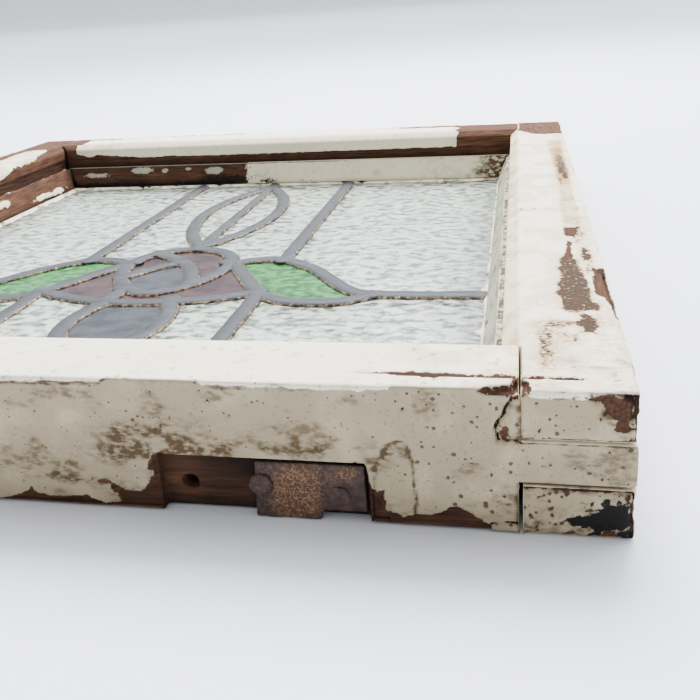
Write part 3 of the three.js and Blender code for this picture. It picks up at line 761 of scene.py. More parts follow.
def mark_stile_right(s):
    top = s.nz > 0.4
    front = (s.ny < -0.4) & (s.y < 1)
    outer = s.nx > 0.4
    under = s.nz < -0.4
    ragged = s.noise(2.2)
    lip = np.interp(s.x, [184, 187, 190, 205, 208, 216], [46, 42.6, 42.4, 42.8, 45, 46.5])
    s.coat = np.where(front, s.h - lip + 0.4 * ragged, s.coat)
    s.coat = np.where(under | (outer & (s.h < 38)), -1, s.coat)

    s.strip(top, -inside_distance(s.x, s.y, FAR_BARE) + 0.7 * ragged)
    s.strip(top, -inside_distance(s.x, s.y, OUTER_BARE) + 0.5 * ragged)
    for patch in DARK_PATCHES:
        distance = inside_distance(s.x, s.y, patch)
        s.strip(top, -distance + 0.7 * ragged)
        s.add("dark", top, 0.35 * fade(distance, -0.5, 0.5))
    s.hollow += np.where(top, 1.1 * fade(inside_distance(s.x, s.y, OUTER_BARE), 0, 3), 0)
    s.add("dark", top & (s.x > 208) & (s.y < 100), 0.25)

    strip = inside_distance(s.x, s.y, TAN_STRIP) + 0.6 * ragged
    s.add("tan", top, 0.85 * fade(strip, -0.3, 0.4) * (0.75 + 0.3 * s.noise(12)))
    s.hollow += np.where(top, 0.15 * fade(strip, -0.3, 0.3), 0)
    crackle = inside_distance(s.x, s.y, CRACKLE) + 1.2 * s.noise(6)
    s.add("worn", top, 0.95 * fade(crackle, -1.0, 1.5))
    scatter = blob(s.x, s.y, (203, 44), (9, 22)) + 0.8 * blob(s.x, s.y, (210, 112), (2.5, 22))
    scatter += 0.45 * blob(s.x, s.y, (192, 60), (10, 30))
    s.add("worn", top, 0.85 * scatter * fade(s.noise(5), -0.6, 0.7))
    streaks = 1.2 * blob(s.x, s.y, (208, 220), (5, 150)) + 0.9 * blob(s.x, s.y, (200, 24), (18, 20))
    s.add("worn", top, 0.9 * streaks * fade(s.noise(6, 5, (1, 4, 1)), -0.3, 0.5))
    s.add("worn", top & (s.y < 30), 0.35 * fade(s.noise(6, 4, (2, 1, 1)), -0.1, 0.8))
    s.add("grime_and_shade", top & (s.y < 24), 0.5 * fade(s.noise(5, 4, (3, 1, 1)), 0, 0.9) * fade(s.x, 186, 200))
    s.add("tan", top & (s.y < 70), 0.25 * fade(s.noise(10), -0.3, 0.7) * fade(s.y, 70, 30))
    ring = np.abs(np.hypot((s.x - 188.3) / 3.4, (s.y - 180.5) / 2.6) - 1) * 2.6
    s.add("grime_and_shade", top, 0.8 * np.exp(-(ring / 0.5) ** 2))
    step_face = (s.nx < -0.15) & (s.h < THICKNESS - 0.5) & (s.h > BEAD_HIGH)
    s.add("tan", step_face, 0.3)
    # Patchy dirt on the moulding and the wall below it, and painted shade that darkens the wall towards the
    # bead's top.
    s.add("grime_and_shade", step_face, 0.35 * fade(s.noise(6, 4, (1, 3, 1)), -0.2, 0.7) + 0.8
          * fade(s.h, REBATE_TOP - 1, BEAD_HIGH + 1))
    wear_stripe(s, top)
    s.marks["pits"] = np.where(top, 0.1 + 0.35 * fade(s.y, 110, 20), 0.5)

    s.strip(outer, 1.3 + 2.2 * s.noise(10, 6, (1, 2, 1)) - 1.6 * fade(s.y, 50, 5) - 1.6 * fade(s.y, 385, 410))
    mark_far_end(s)
    s.add("dark", outer, 0.35 + 0.25 * s.noise(10))
    s.strip(under, 1.1 + 2.2 * s.noise(15))
    s.strip(front, 213.4 - s.x + 0.7 * ragged)
    s.add("dark", front & (s.x > 212.5), 0.6)
    rot = inside_distance(s.x, s.h, ROT)
    s.strip(front & (s.h > TENON_HIGH), 1.1 - 1.7 * fade(rot, -1.5, 1.5) + 1.1 * s.noise(1.8))
    s.strip(front & (s.h < TENON_LOW), 0.9 + 1.1 * s.noise(1.8) - 0.9 * fade(s.h, 3, 1))
    s.add("dark", front & (s.h > TENON_HIGH), 0.4 * fade(rot, -2, 0))
    s.add("grime_and_shade", front, 0.7 * fade(rot, -3, 1))
    s.crack(front, np.hypot(s.x - 211.4, s.h - 43.5), 0.9, 1.4)
    s.strip(front & (s.h > TENON_HIGH) & (s.x > 187),
            0.9 - 1.2 * blob(s.x, s.h, (202, 42.8), (7, 0.8)) + 0.6 * ragged)
    soot = inside_distance(s.x, s.h, SOOT)
    s.add("soot", front & (s.h < TENON_LOW), 0.95 * fade(soot, -0.6, 1.2))
    scatter = 0.62 * fade(s.x, 193, 205) * fade(soot, -8, 0) + 0.35 * fade(s.h, 5, 1.5) * fade(s.x, 188, 200)
    s.add("soot", front & (s.h < TENON_LOW), scatter * fade(s.noise(2.2), -0.5, 0.6))
    s.add("grime_and_shade", front & (s.h < TENON_LOW), 0.45 * fade(s.noise(3), -0.2, 0.8) + 0.3 * fade(s.h, 9, 2))
    seam = np.minimum(np.abs(s.h - TENON_HIGH - JOINT_GAP), np.abs(s.h - TENON_LOW + JOINT_GAP))
    s.add("dark", front, 0.9 * fade(seam, 1.2, 0.2))
    s.strip(front, seam - 0.35 + 0.4 * s.noise(3))
    s.add("grime_and_shade", front, 0.5 * fade(seam, 3, 0.5) * fade(s.noise(3), -0.5, 0.6))
    s.add("soot", front & (s.h > TENON_HIGH),
          0.4 * blob(s.x, s.h, (208, 40), (4, 4)) * fade(s.noise(1.6), 0, 0.6))
    s.marks["pits"] = np.where(front, 0.95, s.marks["pits"])
    mark_gouge(s)


def wear_stile_right(s):
    wear = np.full(len(s.x), 0.09)
    arris = (s.x > HALF_WIDTH - 3) & (s.h > THICKNESS - 3)
    wear = np.where(arris, 0.35 + 0.55 * fade(s.y, 110, 30) + 0.3 * fade(s.y, 370, 400), wear)
    wear = np.where((s.y < 3) & (s.h > THICKNESS - 3) & (s.x > 190), 0.5, wear)
    wear = np.where((s.y < 3) & (s.x > HALF_WIDTH - 3), 0.7, wear)
    wear = np.where((s.y < 3) & (s.h < 3), 0.35, wear)
    joint = (s.x < SHOULDER + 1) & (s.h > TENON_HIGH) & (s.y < 2) & (s.h < 42)
    return np.where(joint, 0.0, wear)


def build_stile_right():
    lines = (
        grid_lines(0, (RAIL_FLAT, 0.75), (60, 0.8), (220, 0.85), (LENGTH - RAIL_FLAT, 1.15), (LENGTH, 1.2)),
        grid_lines(0, (4, 0.8), (STILE_FLAT - 3, 0.9), (STILE_FLAT, 0.75),
                   (STILE_FLAT + MOULDING_WIDTH - REBATE_STEP, 1.1),
                   (STILE_FLAT + MOULDING_WIDTH, 1.2), (HALF_WIDTH - SIGHT_X, 3)),
        grid_lines(0, (LIP_HEIGHT, 1.1), (TENON_LOW - JOINT_GAP, 1.1), (TENON_HIGH + JOINT_GAP, 1.2),
                   (REBATE_TOP, 1.1),
                   (41, 1.1), (THICKNESS, 0.7)),
    )
    filled, along, inward, height = member_cells(lines, STILE_FLAT)
    filled = stile_ends(filled, along, inward, height)
    mids = [np.broadcast_to(axis, filled.shape)[filled] for axis in (HALF_WIDTH - inward, along, height)]
    cut = in_gouge(*mids) > 0.1
    filled[filled] = ~cut

    def warp(a, u, h):
        a, u, h = stile_warp(a, u, h)
        cheek = (a < RAIL_FLAT) & (u > STILE_FLAT - 0.2) & (h < TENON_LOW)
        crack = (a < RAIL_FLAT) & (a > 9) & (u > STILE_FLAT - 0.2) & (h > THICKNESS - 2)
        return a, np.where(cheek, u - 0.6, np.where(crack, u - 0.35, u)), h

    return build_member("stile_right", "right", lines, filled, warp, wear_stile_right, mark_stile_right, 400)


def mark_rail_top(s):
    top = s.nz > 0.4
    wall = (s.ny < -0.3) & (s.h > REBATE_TOP - 8)
    outer = s.ny > 0.4
    under = s.nz < -0.4
    ragged = s.noise(3)
    places = [-215, -170, -169.5, -159, -150.6, -139.9, -116, -102.8, -89.5, -63.6, -29.4, 60, 139, 141, 215]
    heights = [46, 46, 37.8, 34.9, 36.5, 35.6, 33.6, 33.2, 34, 33.2, 32.7, 33.5, 33.8, 47, 47]
    edge = np.interp(s.x, places, heights)
    s.strip(wall, s.h - edge + 0.5 * ragged)
    s.add("tan", wall, 0.12)
    # Stained bare wood on the wall, and painted shade that darkens it towards the bead below the rebate's
    # step.
    s.add("dark", wall & (s.x < 140), 0.3 + 0.3 * fade(s.h, 33, 28))
    s.add("dark", wall & (s.x > 140), 0.1 + 0.4 * fade(s.h, 34, 30))
    s.add("grime_and_shade", wall & (s.x < 30), 0.3 * fade(s.noise(8, 4, (3, 1, 1)), 0, 0.8))
    flat = top & (s.y > LENGTH - RAIL_FLAT - 1)
    s.strip(flat, 138 - s.x + 4 * ragged + 3 * blob(s.x, s.y, (160, 428), (20, 5)))
    s.strip(flat, s.x + 166 + 2 * ragged)
    s.strip(flat & (s.x < -140), LENGTH - 10 - s.y + 2 * ragged)
    s.strip(flat, 1.2 - 2.6 * blob(s.x, s.y, (118, 431), (34, 4)) + 0.5 * ragged)
    s.strip(flat, 1.2 - 1.9 * blob(s.x, s.y, (-60, 434), (60, 4)) + 0.6 * ragged)
    s.strip(outer, 1.2 + 2.2 * s.noise(10, 6, (2, 1, 1)) - 1.2 * fade(s.x, 80, 160))
    s.strip(under, 0.9 + 2.2 * s.noise(15))
    s.coat = np.where(under | outer, -1, s.coat)
    s.add("dark", outer | under, 0.25 + 0.2 * s.noise(9))


def wear_plain(s):
    wear = np.full(len(s.x), 0.1)
    outer = (np.abs(s.x) > HALF_WIDTH - 3) | (s.y > LENGTH - 3) | (s.y < 3)
    return np.where(outer, 0.3, wear)


def build_rail_top():
    lines = (
        grid_lines(-HALF_WIDTH, (-SHOULDER + JOINT_GAP / 2, 1.3), (SHOULDER - JOINT_GAP / 2, 1.3),
                   (HALF_WIDTH, 1.3)),
        grid_lines(0, (RAIL_FLAT, 1.25), (RAIL_FLAT + MOULDING_WIDTH - REBATE_STEP, 1.1),
                   (RAIL_FLAT + MOULDING_WIDTH, 1.2),
                   (SIGHT_Y, 3)),
        grid_lines(0, (LIP_HEIGHT, 1.4), (TENON_LOW, 1.4), (TENON_HIGH, 1.3), (REBATE_TOP, 1.2),
                   (THICKNESS, 0.9)),
    )
    filled = rail_ends(*member_cells(lines, RAIL_FLAT))
    return build_member("rail_top", "top", lines, filled, rail_warp, wear_plain, mark_rail_top, 700)


def mark_stile_left(s):
    top = s.nz > 0.4
    wall = (s.nx > 0.3) & (s.h > REBATE_TOP - 8)
    outer = s.nx < -0.4
    under = s.nz < -0.4
    front = (s.ny < -0.4) & (s.y < 1)
    ragged = s.noise(3)
    edge = np.interp(s.y, [0, 150, 260, 318, 322, 334, 354, 374, 386, 390, 438],
                     [36, 37, 38, 36.8, 38, 42, 41, 43.6, 43.9, 47, 47])
    s.strip(wall, s.h - edge + 0.8 * ragged)
    # Stained bare wood on the wall, and painted shade that darkens it towards the bead below the rebate's
    # step.
    s.add("dark", wall, 0.1 + 0.45 * fade(s.h, 35, 29))
    s.strip(top, 2.0 + 1.6 * s.noise(12, 4, (1, 3, 1)) - 2.6 * fade(-s.x, 196, 206) - 4 * fade(s.y, 384, 392))
    s.add("tan", top, 0.35 * fade(s.noise(9), -0.4, 0.4))
    s.add("worn", top, 0.45 * fade(s.noise(7, 4, (1, 3, 1)), 0, 0.8))
    s.strip(outer, 1.2 + 2.2 * s.noise(10, 6, (1, 2, 1)))
    s.strip(under, 1.1 + 2.2 * s.noise(10, 6))
    mark_far_end(s)
    s.strip(front, s.x + 213.4 + 0.7 * ragged)
    s.coat = np.where(under | outer | front, -1, s.coat)
    s.add("dark", outer | under, 0.3 + 0.2 * s.noise(9))
    s.marks["pits"] = np.where(front, 0.6, s.marks["pits"])


def build_stile_left():
    lines = (
        grid_lines(0, (RAIL_FLAT, 1.2), (LENGTH - RAIL_FLAT, 1.5), (LENGTH, 1.2)),
        grid_lines(0, (STILE_FLAT, 1.25), (STILE_FLAT + MOULDING_WIDTH - REBATE_STEP, 1.1),
                   (STILE_FLAT + MOULDING_WIDTH, 1.2), (HALF_WIDTH - SIGHT_X, 3)),
        grid_lines(0, (LIP_HEIGHT, 1.4), (TENON_LOW - JOINT_GAP, 1.5), (TENON_HIGH + JOINT_GAP, 1.4),
                   (REBATE_TOP, 1.2),
                   (THICKNESS, 1.0)),
    )
    filled = stile_ends(*member_cells(lines, STILE_FLAT))
    return build_member("stile_left", "left", lines, filled, stile_warp, wear_plain, mark_stile_left, 900)


# ---- glazing beads and the putty at their foot ----

def flat_of(side):
    return RAIL_FLAT if side in ("bottom", "top") else STILE_FLAT


def mitred(side, share, inward, gap):
    """The place along a side at a share of its length between the mitres."""
    cut = inward - flat_of(side) + gap
    if side in ("bottom", "top"):
        return (2 * share - 1) * (SHOULDER - cut)
    return RAIL_FLAT + cut + share * (LENGTH - 2 * RAIL_FLAT - 2 * cut)


BEAD_NOSE = 2.2
BEAD_TOP_WIDTH = 2.6


def build_bead(side, marks_of, seed):
    back = flat_of(side) + MOULDING_WIDTH - REBATE_STEP + JOINT_GAP
    sight = flat_of(side) + MOULDING_WIDTH + LIP_WIDTH
    crest = flat_of(side) + MOULDING_WIDTH + BEAD_TOP_WIDTH

    def warp(share, across, height):
        edge = np.interp(height, [BEAD_LOW, BEAD_LOW + BEAD_NOSE, BEAD_HIGH], [sight, sight, crest])
        inward = back + across * (edge - back)
        return mitred(side, share, inward, JOINT_GAP), inward, height

    lines = (grid_lines(0, (1, 1 / 300)), grid_lines(0, (1, 1 / 4)), grid_lines(BEAD_LOW, (BEAD_HIGH, 0.95)))
    filled = np.ones([len(axis) - 1 for axis in lines], bool)
    material = timber_material(f"bead_{side}_paint", grain_along(side), (228, 220, 192), (160, 160, 146))
    name = f"bead_{side}_timber"

    def wear(s):
        return np.full(len(s.x), 0.13)

    return build_timber(
        name, side, lines, filled, warp, wear, marks_of, seed, material, "bead_timber", f"bead_{side}"
    )


def build_putty(side, width, seed):
    """The ragged line of putty squeezed out where a bead meets the glass."""
    sight = flat_of(side) + MOULDING_WIDTH + LIP_WIDTH
    along = np.linspace(0, 1, 401)
    spots = np.stack([along * LENGTH, 0 * along, 0 * along], axis=1)
    reach = width * (1 + 0.55 * fractal(spots, 16, seed, 4) + 0.35 * fractal(spots, 4, seed + 9, 3))
    reach += 2.2 * fade(fractal(spots, 9, seed + 20, 2), 0.75, 1.0)
    reach = np.clip(reach, 0.15, None)

    def warp(share, across, height):
        out = np.interp(share, along, reach)
        inward = sight - 1.5 + across * (1.5 + out)
        thick = (BEAD_LOW + 0.5 - GLASS_HIGH) * (1 - 0.75 * fade(across, 0.35, 1.0)) * np.clip(out, 0.5, 1)
        return mitred(side, share, inward, 0), inward, GLASS_HIGH - 0.15 + height * thick

    def marks_of(s):
        s.add("grime_and_shade", s.h > 0, 0.6 * fade(s.noise(7), -0.3, 0.6))
        s.marks["pits"][:] = 0.6

    def wear(s):
        return np.full(len(s.x), 0.1)

    lines = (grid_lines(0, (1, 1 / 400)), grid_lines(0, (1, 1 / 5)), grid_lines(0, (1, 1 / 2)))
    filled = np.ones([len(axis) - 1 for axis in lines], bool)
    material = timber_material(f"putty_{side}_paint", (1, 1, 1), (232, 222, 198), (200, 186, 158))
    return build_timber(f"putty_{side}", side, lines, filled, warp, wear, marks_of, seed, material,
                        "bead_timber")


def mark_bead_right(s):
    slope = s.nx < -0.2
    s.coat = np.where(slope & (s.h < BEAD_HIGH - 1.2), -1 + 1.2 * fade(s.noise(9, 4, (1, 3, 1)), 0.35, 0.8),
                      s.coat)
    s.add("grime_and_shade", slope, 0.55 * fade(s.noise(4, 4, (1, 3, 1)), -0.3, 0.7) + 0.35 * fade(s.y, 330, 395))
    # Dirt and painted shade on the bead's top ledge under the wall's step.
    s.add("grime_and_shade", s.nz > 0.6, 0.7 * fade(s.x, 173.5, 174.6))
    s.strip(slope, 1.0 + 1.3 * s.noise(3.5, 4, (1, 2.5, 1)) + 0.6 * fade(s.h, 14, 20))
    s.add("dark", slope, 0.3)
    s.marks["pits"][:] = 0.8


BEAD_PATCHES = [((-112, 24), (12, 3)), ((-92, 23), (3, 2)), ((-73, 24), (4, 1.6)), ((-50, 22.5), (11, 3.6))]


def mark_bead_top(s):
    slope = s.ny < -0.2
    ragged = s.noise(4)
    painted = s.x + 23 + 3 * ragged
    patches = sum(blob(s.x, s.h, centre, radii) for centre, radii in BEAD_PATCHES)
    patches += 0.8 * blob(s.x, s.h, (-150, 21), (16, 3))
    s.strip(slope, np.maximum(painted, 3 * (patches - 0.55) + 0.5 * ragged))
    s.coat = np.where(s.x < -23, -0.6, s.coat)
    s.strip(slope & (s.x > -23), 26.6 - s.h + 1.2 * fade(s.x, 40, 70) + 0.5 * ragged)
    s.add("dark", slope, 0.35 + 0.55 * fade(s.h, 20, 13) + 0.2 * s.noise(8, 4, (3, 1, 1)))
    foot = fade(s.h, 17.5, 13) * fade(s.noise(10, 4, (3, 1, 1)) + 0.5 * fade(s.x, 0, -140), -0.5, 0.5)
    s.add("soot", slope, 0.75 * foot * fade(s.x, 60, -20) + 0.55 * blob(s.x, s.h, (-40, 17), (26, 3.5)))
    s.add("grime_and_shade", slope & (s.x > -23), 0.3 * fade(s.noise(9), 0, 0.8) + 0.9 * fade(s.x, 145, 168))
    s.marks["pits"][:] = 0.4


def mark_bead_left(s):
    slope = s.nx > 0.2
    spots = blob(s.y, s.h, (306, 22), (8, 3.5)) + 0.75 * blob(s.y, s.h, (345, 16), (16, 2.5))
    spots += 0.7 * blob(s.y, s.h, (372, 15), (14, 3)) + 0.8 * blob(s.y, s.h, (240, 20), (18, 4))
    spots += 0.7 * blob(s.y, s.h, (150, 20), (30, 3)) + 0.8 * blob(s.y, s.h, (80, 18), (16, 5))
    s.strip(slope, 3 * (spots - 0.5) + 0.7 * s.noise(4))
    s.strip(~slope, -0.5 + s.noise(5))
    s.add("dark", s.h > 0, 0.25 + 0.3 * fade(s.h, 18, 12) + 0.2 * s.noise(9))
    s.marks["pits"][:] = 0.4


def mark_bead_bottom(s):
    slope = s.ny > 0.2
    s.strip(slope, 0.9 + 1.2 * s.noise(6, 4, (3, 1, 1)))
    s.coat = np.where(slope, 0.3 + s.noise(12), s.coat)
    s.add("dark", slope, 0.3)
    s.add("grime_and_shade", slope, 0.4 * fade(s.noise(6), 0, 0.8))


# ---- leaded light ----

CAME_WIDTH = 8
VEIN_WIDTH = 6.5
BORDER_WIDTH = 9

# Ornament, placed from the centre line and the hinge edge
BAR_X = 58.5
ROSE_TOP_Y = 231.5
BUD_BASE_Y = 236
BUD_TIP_Y = 386
BUD_HALF_WIDTH = 25.5
CALYX_HALF_WIDTH = 58.5
CALYX_END_Y = 161
CALYX_LOW_Y = 146
LEAF_TOP_Y = 212
LEAF_TIP = (117, 158.5)
DROP_X = 2
DROP_TOP_Y = 146
DROP_TIP_Y = 62


def flip(line):
    return [(-x, y) for x, y in line]


def spaced(line, step):
    """Points at even spacing along a chain of points."""
    line = np.array(line, float)
    along = np.concatenate([[0], np.cumsum(np.hypot(*np.diff(line, axis=0).T))])
    count = max(2, round(along[-1] / step) + 1)
    places = np.linspace(0, along[-1], count)
    return np.stack([np.interp(places, along, line[:, axis]) for axis in (0, 1)], axis=1)


def curve_through(line, closed=False, step=1.6):
    """A smooth curve through points, evenly spaced."""
    line = np.array(line, float)
    ends = (line[-2], line[1]) if closed else (2 * line[0] - line[1], 2 * line[-1] - line[-2])
    line = np.concatenate([[ends[0]], line, [ends[1]]])
    share = np.linspace(0, 1, 17)[:-1, None]
    runs = []
    for p0, p1, p2, p3 in zip(line, line[1:], line[2:], line[3:]):
        bend = (2 * p0 - 5 * p1 + 4 * p2 - p3) * share**2 + (3 * p1 - p0 - 3 * p2 + p3) * share**3
        runs.append(0.5 * (2 * p1 + (p2 - p0) * share + bend))
    return spaced(np.concatenate([*runs, line[-2:-1]]), step)


def arc(start, end, rise, step=1.6):
    """An arc that bulges to the left of the way from start to end by rise."""
    start, end = np.array(start, float), np.array(end, float)
    half = np.linalg.norm(end - start) / 2
    radius = (half * half + rise * rise) / (2 * abs(rise))
    sweep = math.asin(min(1, half / radius))
    angle = np.linspace(-sweep, sweep, 80)[:, None]
    ahead = (end - start) / (2 * half)
    left = np.array([-ahead[1], ahead[0]]) * np.sign(rise)
    out = radius * np.cos(angle) - (radius - abs(rise))
    return spaced(start + ahead * (half + radius * np.sin(angle)) + left * out, step)


def came_lines():
    """Every strip of came as a centre line and a width."""
    inset = BORDER_WIDTH / 2
    low, high, side = CAME_NEAR_Y + inset, CAME_FAR_Y - inset, CAME_REACH_X - inset
    pairs = [
        spaced([(BAR_X, LEAF_TOP_Y - 1), (BAR_X, high)], 2),
        spaced([(CALYX_HALF_WIDTH + 1, CALYX_END_Y), (CALYX_HALF_WIDTH + 1, low)], 2),
        spaced([LEAF_TIP, (side, LEAF_TIP[1])], 2),
        arc((0, BUD_TIP_Y), (0, BUD_BASE_Y), BUD_HALF_WIDTH),
        curve_through([(28.5, 211), (35, 200), (46.5, 180.5), (CALYX_HALF_WIDTH, CALYX_END_Y)]),
        curve_through([(32, 205), (40, 210), (50, LEAF_TOP_Y), (60, 210), (70, 203.5), (80, 195), (90, 182),
                       (100, 168.5), (108, 161.5), LEAF_TIP]),
        curve_through([(CALYX_HALF_WIDTH, CALYX_END_Y), (64, 155.5), (72, 151), (82, 148.5), (92, 148),
                       (102, 149.5),
                       (110, 153), LEAF_TIP]),
    ]
    ring = [(0, ROSE_TOP_Y), (14, 228), (24.5, 219), (29.5, 206), (28, 191), (23.5, 179.5), (14.5, 167),
            (0, 159)]
    drop = [(16, 0), (20.5, -8), (23, -20), (22, -34), (18, -43), (12, -53), (6.5, -65), (2, -76)]
    singles = [
        arc((-CALYX_HALF_WIDTH, CALYX_END_Y), (CALYX_HALF_WIDTH, CALYX_END_Y), CALYX_LOW_Y - CALYX_END_Y),
        curve_through([(-21, 222.5), (-10, 216.5), (0, 208.5), (8, 198.5), (14, 187), (18.5, 173.5)]),
        curve_through([(-1.5, 209.5), (-3, 205), (-9, 200.5), (-16, 193), (-24.5, 181.5)]),
        spaced([(-13.5, 165), (-16.5, 148)], 2),
        spaced([(0, DROP_TIP_Y + 2), (0, low)], 2),
        spaced([(0, BUD_TIP_Y), (0, high)], 2),
        curve_through([*ring, *flip(ring)[-2::-1]], closed=True),
    ]
    for sign in (1, -1):
        half = [(DROP_X + sign * out, DROP_TOP_Y + down) for out, down in drop]
        singles.append(curve_through([*half, (0, DROP_TIP_Y)]))
    border = [
        [(-side, low), (side, low)], [(side, low), (side, high)], [(side, high), (-side, high)],
        [(-side, high), (-side, low)]
    ]
    lines = [(line, CAME_WIDTH) for line in (*pairs, *(np.array(flip(line)) for line in pairs), *singles)]
    lines.append((spaced([(0, ROSE_TOP_Y), (0, BUD_TIP_Y)], 2), VEIN_WIDTH))
    return lines + [(spaced(line, 4), BORDER_WIDTH) for line in border]


# The came's section from its right foot over the crown, as (share of the half width, height
# above the came's lowest point)
CAME_SECTION = [
    (1.14, 4.05), (1.0, 4.75), (0.86, 5.3), (0.5, 5.62), (0, 5.75), (-0.5, 5.62), (-0.86, 5.3),
    (-1.0, 4.75), (-1.14, 4.05), (-0.2, 4.2), (-0.2, 1.0), (-1.08, 1.1), (-1.0, 0.45), (-0.6, 0.12),
    (0, 0.05), (0.6, 0.12), (1.0, 0.45), (1.08, 1.1), (0.2, 1.0), (0.2, 4.2),
]
SOLDER_JOINTS = [
    (0, BUD_TIP_Y), (0, ROSE_TOP_Y + 1), (0, DROP_TIP_Y), (-21, 222.5), (18.5, 174), (-24, 182),
    (-1.5, 208.5), (-15, 165.5), (-16, 148.5), (18, 149.5), (28, 207), (-28, 207),
    *[(side * x, y) for side in (-1, 1) for x,
      y in (LEAF_TIP, (CALYX_HALF_WIDTH, CALYX_END_Y), (BAR_X, LEAF_TOP_Y - 1.5))],
]


def came_strip(line, width, seed):
    """One strip of came as points, polygons and the mark of its rim."""
    closed = np.allclose(line[0], line[-1])
    ahead = np.gradient(line, axis=0)
    if closed:
        ahead[0] = ahead[-1] = line[1] - line[-2]
    ahead /= np.linalg.norm(ahead, axis=1, keepdims=True)
    right = np.stack([ahead[:, 1], -ahead[:, 0]], axis=1)
    spots = np.concatenate([line, np.zeros((len(line), 1))], axis=1)
    swell = 1 + 0.035 * fractal(spots, 11, seed, 3)
    lift = 0.1 * fractal(spots, 13, seed + 5, 3)
    if closed:
        swell[-1], lift[-1] = swell[0], lift[0]
    section = np.array(CAME_SECTION)
    count = len(section)
    reach = section[:, 0][None, :] * (width / 2 * swell)[:, None]
    plan = line[:, None, :] + right[:, None, :] * reach[:, :, None]
    rise = section[:, 1][None, :] * np.ones((len(line), 1)) + lift[:, None] * (section[:, 1] > 5)[None, :]
    points = np.concatenate([plan, CAME_LOW + rise[:, :, None]], axis=2).reshape(-1, 3)
    ids = np.arange(len(line) * count).reshape(len(line), count)
    after = np.roll(ids, -1, axis=1)
    quads = np.stack([ids[:-1], after[:-1], after[1:], ids[1:]], axis=-1).reshape(-1, 4)
    polygons = [*quads, ids[0][::-1], ids[-1]]
    rim = np.tile(np.abs(section[:, 0]) / 1.14, len(line))
    return points, polygons, rim


def solder_blob(x, y, radius, seed):
    """A low lump of solder over a joint, closed below."""
    levels = [(1.0, 4.7), (0.97, 5.25), (0.8, 5.65), (0.5, 5.9), (0.2, 6.0)]
    turn = np.linspace(0, 2 * math.pi, 25)[:-1]
    ring = np.stack([np.cos(turn), np.sin(turn)], axis=1)
    edge = 1 + 0.16 * fractal(np.concatenate([ring * 9 + (x, y), 0 * ring[:, :1]], axis=1), 7, seed, 3)
    rows = [np.concatenate([ring * (edge * radius * share)[:, None] + (x, y),
                            np.full((24, 1), CAME_LOW + rise)], axis=1)
            for share, rise in levels]
    ids = np.arange(24 * len(rows)).reshape(len(rows), 24)
    after = np.roll(ids, -1, axis=1)
    quads = np.stack([ids[:-1], after[:-1], after[1:], ids[1:]], axis=-1).reshape(-1, 4)
    return np.concatenate(rows), [*quads, ids[0][::-1], ids[-1]], np.full(24 * len(rows), 0.4)


def build_cames():
    parts = [came_strip(line, width, 50 + 7 * index) for index, (line, width) in enumerate(came_lines())]
    parts += [solder_blob(x, y, 5.4, 300 + index) for index, (x, y) in enumerate(SOLDER_JOINTS)]
    start = 0
    polygons = []
    for points, loops, _ in parts:
        polygons.extend(loop + start for loop in loops)
        start += len(points)
    points = np.concatenate([part[0] for part in parts])
    rim = np.concatenate([part[2] for part in parts])
    make_piece("lead_cames_soldered", points, polygons, {"rim": rim}, lead_material(), "lead", "lead_cames")


def remeshed(node, voxel):
    """The points and quads of a CAD node's shape, remeshed to small even cells."""
    copy = bpy.data.objects.new("shape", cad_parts[node].data.copy())
    bpy.context.scene.collection.objects.link(copy)
    modifier = copy.modifiers.new("cells", "REMESH")
    modifier.mode = "VOXEL"
    modifier.voxel_size = voxel * MM
    mesh = copy.evaluated_get(bpy.context.evaluated_depsgraph_get()).to_mesh()
    points = np.empty(3 * len(mesh.vertices))
    mesh.vertices.foreach_get("co", points)
    corners = np.empty(len(mesh.loops), dtype=np.int32)
    mesh.loops.foreach_get("vertex_index", corners)
    bpy.data.objects.remove(copy)
    return points.reshape(-1, 3) / MM - (0, 0, BASE), corners.reshape(-1, 4)


GLASS_KINDS = {
    "clear": (("bud_left", "bud_right", "upper_outer_left", "upper_inner_left", "upper_inner_right",
               "upper_outer_right", "lower_outer_left", "lower_inner_left", "lower_inner_right",
               "lower_outer_right"),
              1.5, 5.5, 0.42),
    "mauve": (("rose_left", "rose_right", "petal_left", "petal_right"), 1.2, 12, 0.12),
    "grey": (("rose_heart", "drop"), 1.2, 14, 0.1),
    "green": (("leaf_left", "leaf_right"), 1.2, 4.0, 0.3),
}
GLASS_LOOKS = {
    # The clear glass's deep colour is painted refraction, standing in for light bent by its ripples.
    "clear": ((238, 246, 238), (92, 112, 98), 0.55, 4.5, 0.08, 0.6),
    "mauve": ((78, 60, 60), (56, 42, 44), 0.88, 12, 0.2, 0.3),
    "grey": ((70, 74, 80), (50, 54, 59), 0.9, 14, 0.2, 0.3),
    "green": ((66, 140, 74), (30, 88, 42), 0.86, 4, 0.15, 0.3),
}


def build_glass():
    for kind, (names, voxel, ripple, depth) in GLASS_KINDS.items():
        material = glass_material(f"{kind}_glass", *GLASS_LOOKS[kind])
        for index, name in enumerate(names):
            points, quads = remeshed(f"glass_{name}", voxel)
            relief = fractal(points * (1, 1, 0), ripple, 600 + index, 2, (1.4, 1, 1))
            face = points[:, 2] > GLASS_HIGH - 0.6
            points[:, 2] = np.where(face, GLASS_HIGH - depth * (0.5 + 0.5 * np.clip(relief, -1, 1)),
                                    points[:, 2])
            # Dirt and painted shade of the frame on the clear glass, rising towards the stiles and the far
            # rail.
            edge = np.maximum(fade(np.abs(points[:, 0]), SIGHT_X - 26, SIGHT_X),
                              fade(points[:, 1], 368, LENGTH - SIGHT_Y))
            grime_and_shade = edge * (0.55 if kind == "clear" else 0)
            make_piece(f"{name}_pane", points, quads, {"grime_and_shade": grime_and_shade}, material, f"{kind}_glass",
                       f"glass_{name}")


# ---- hinge leaf and screws ----

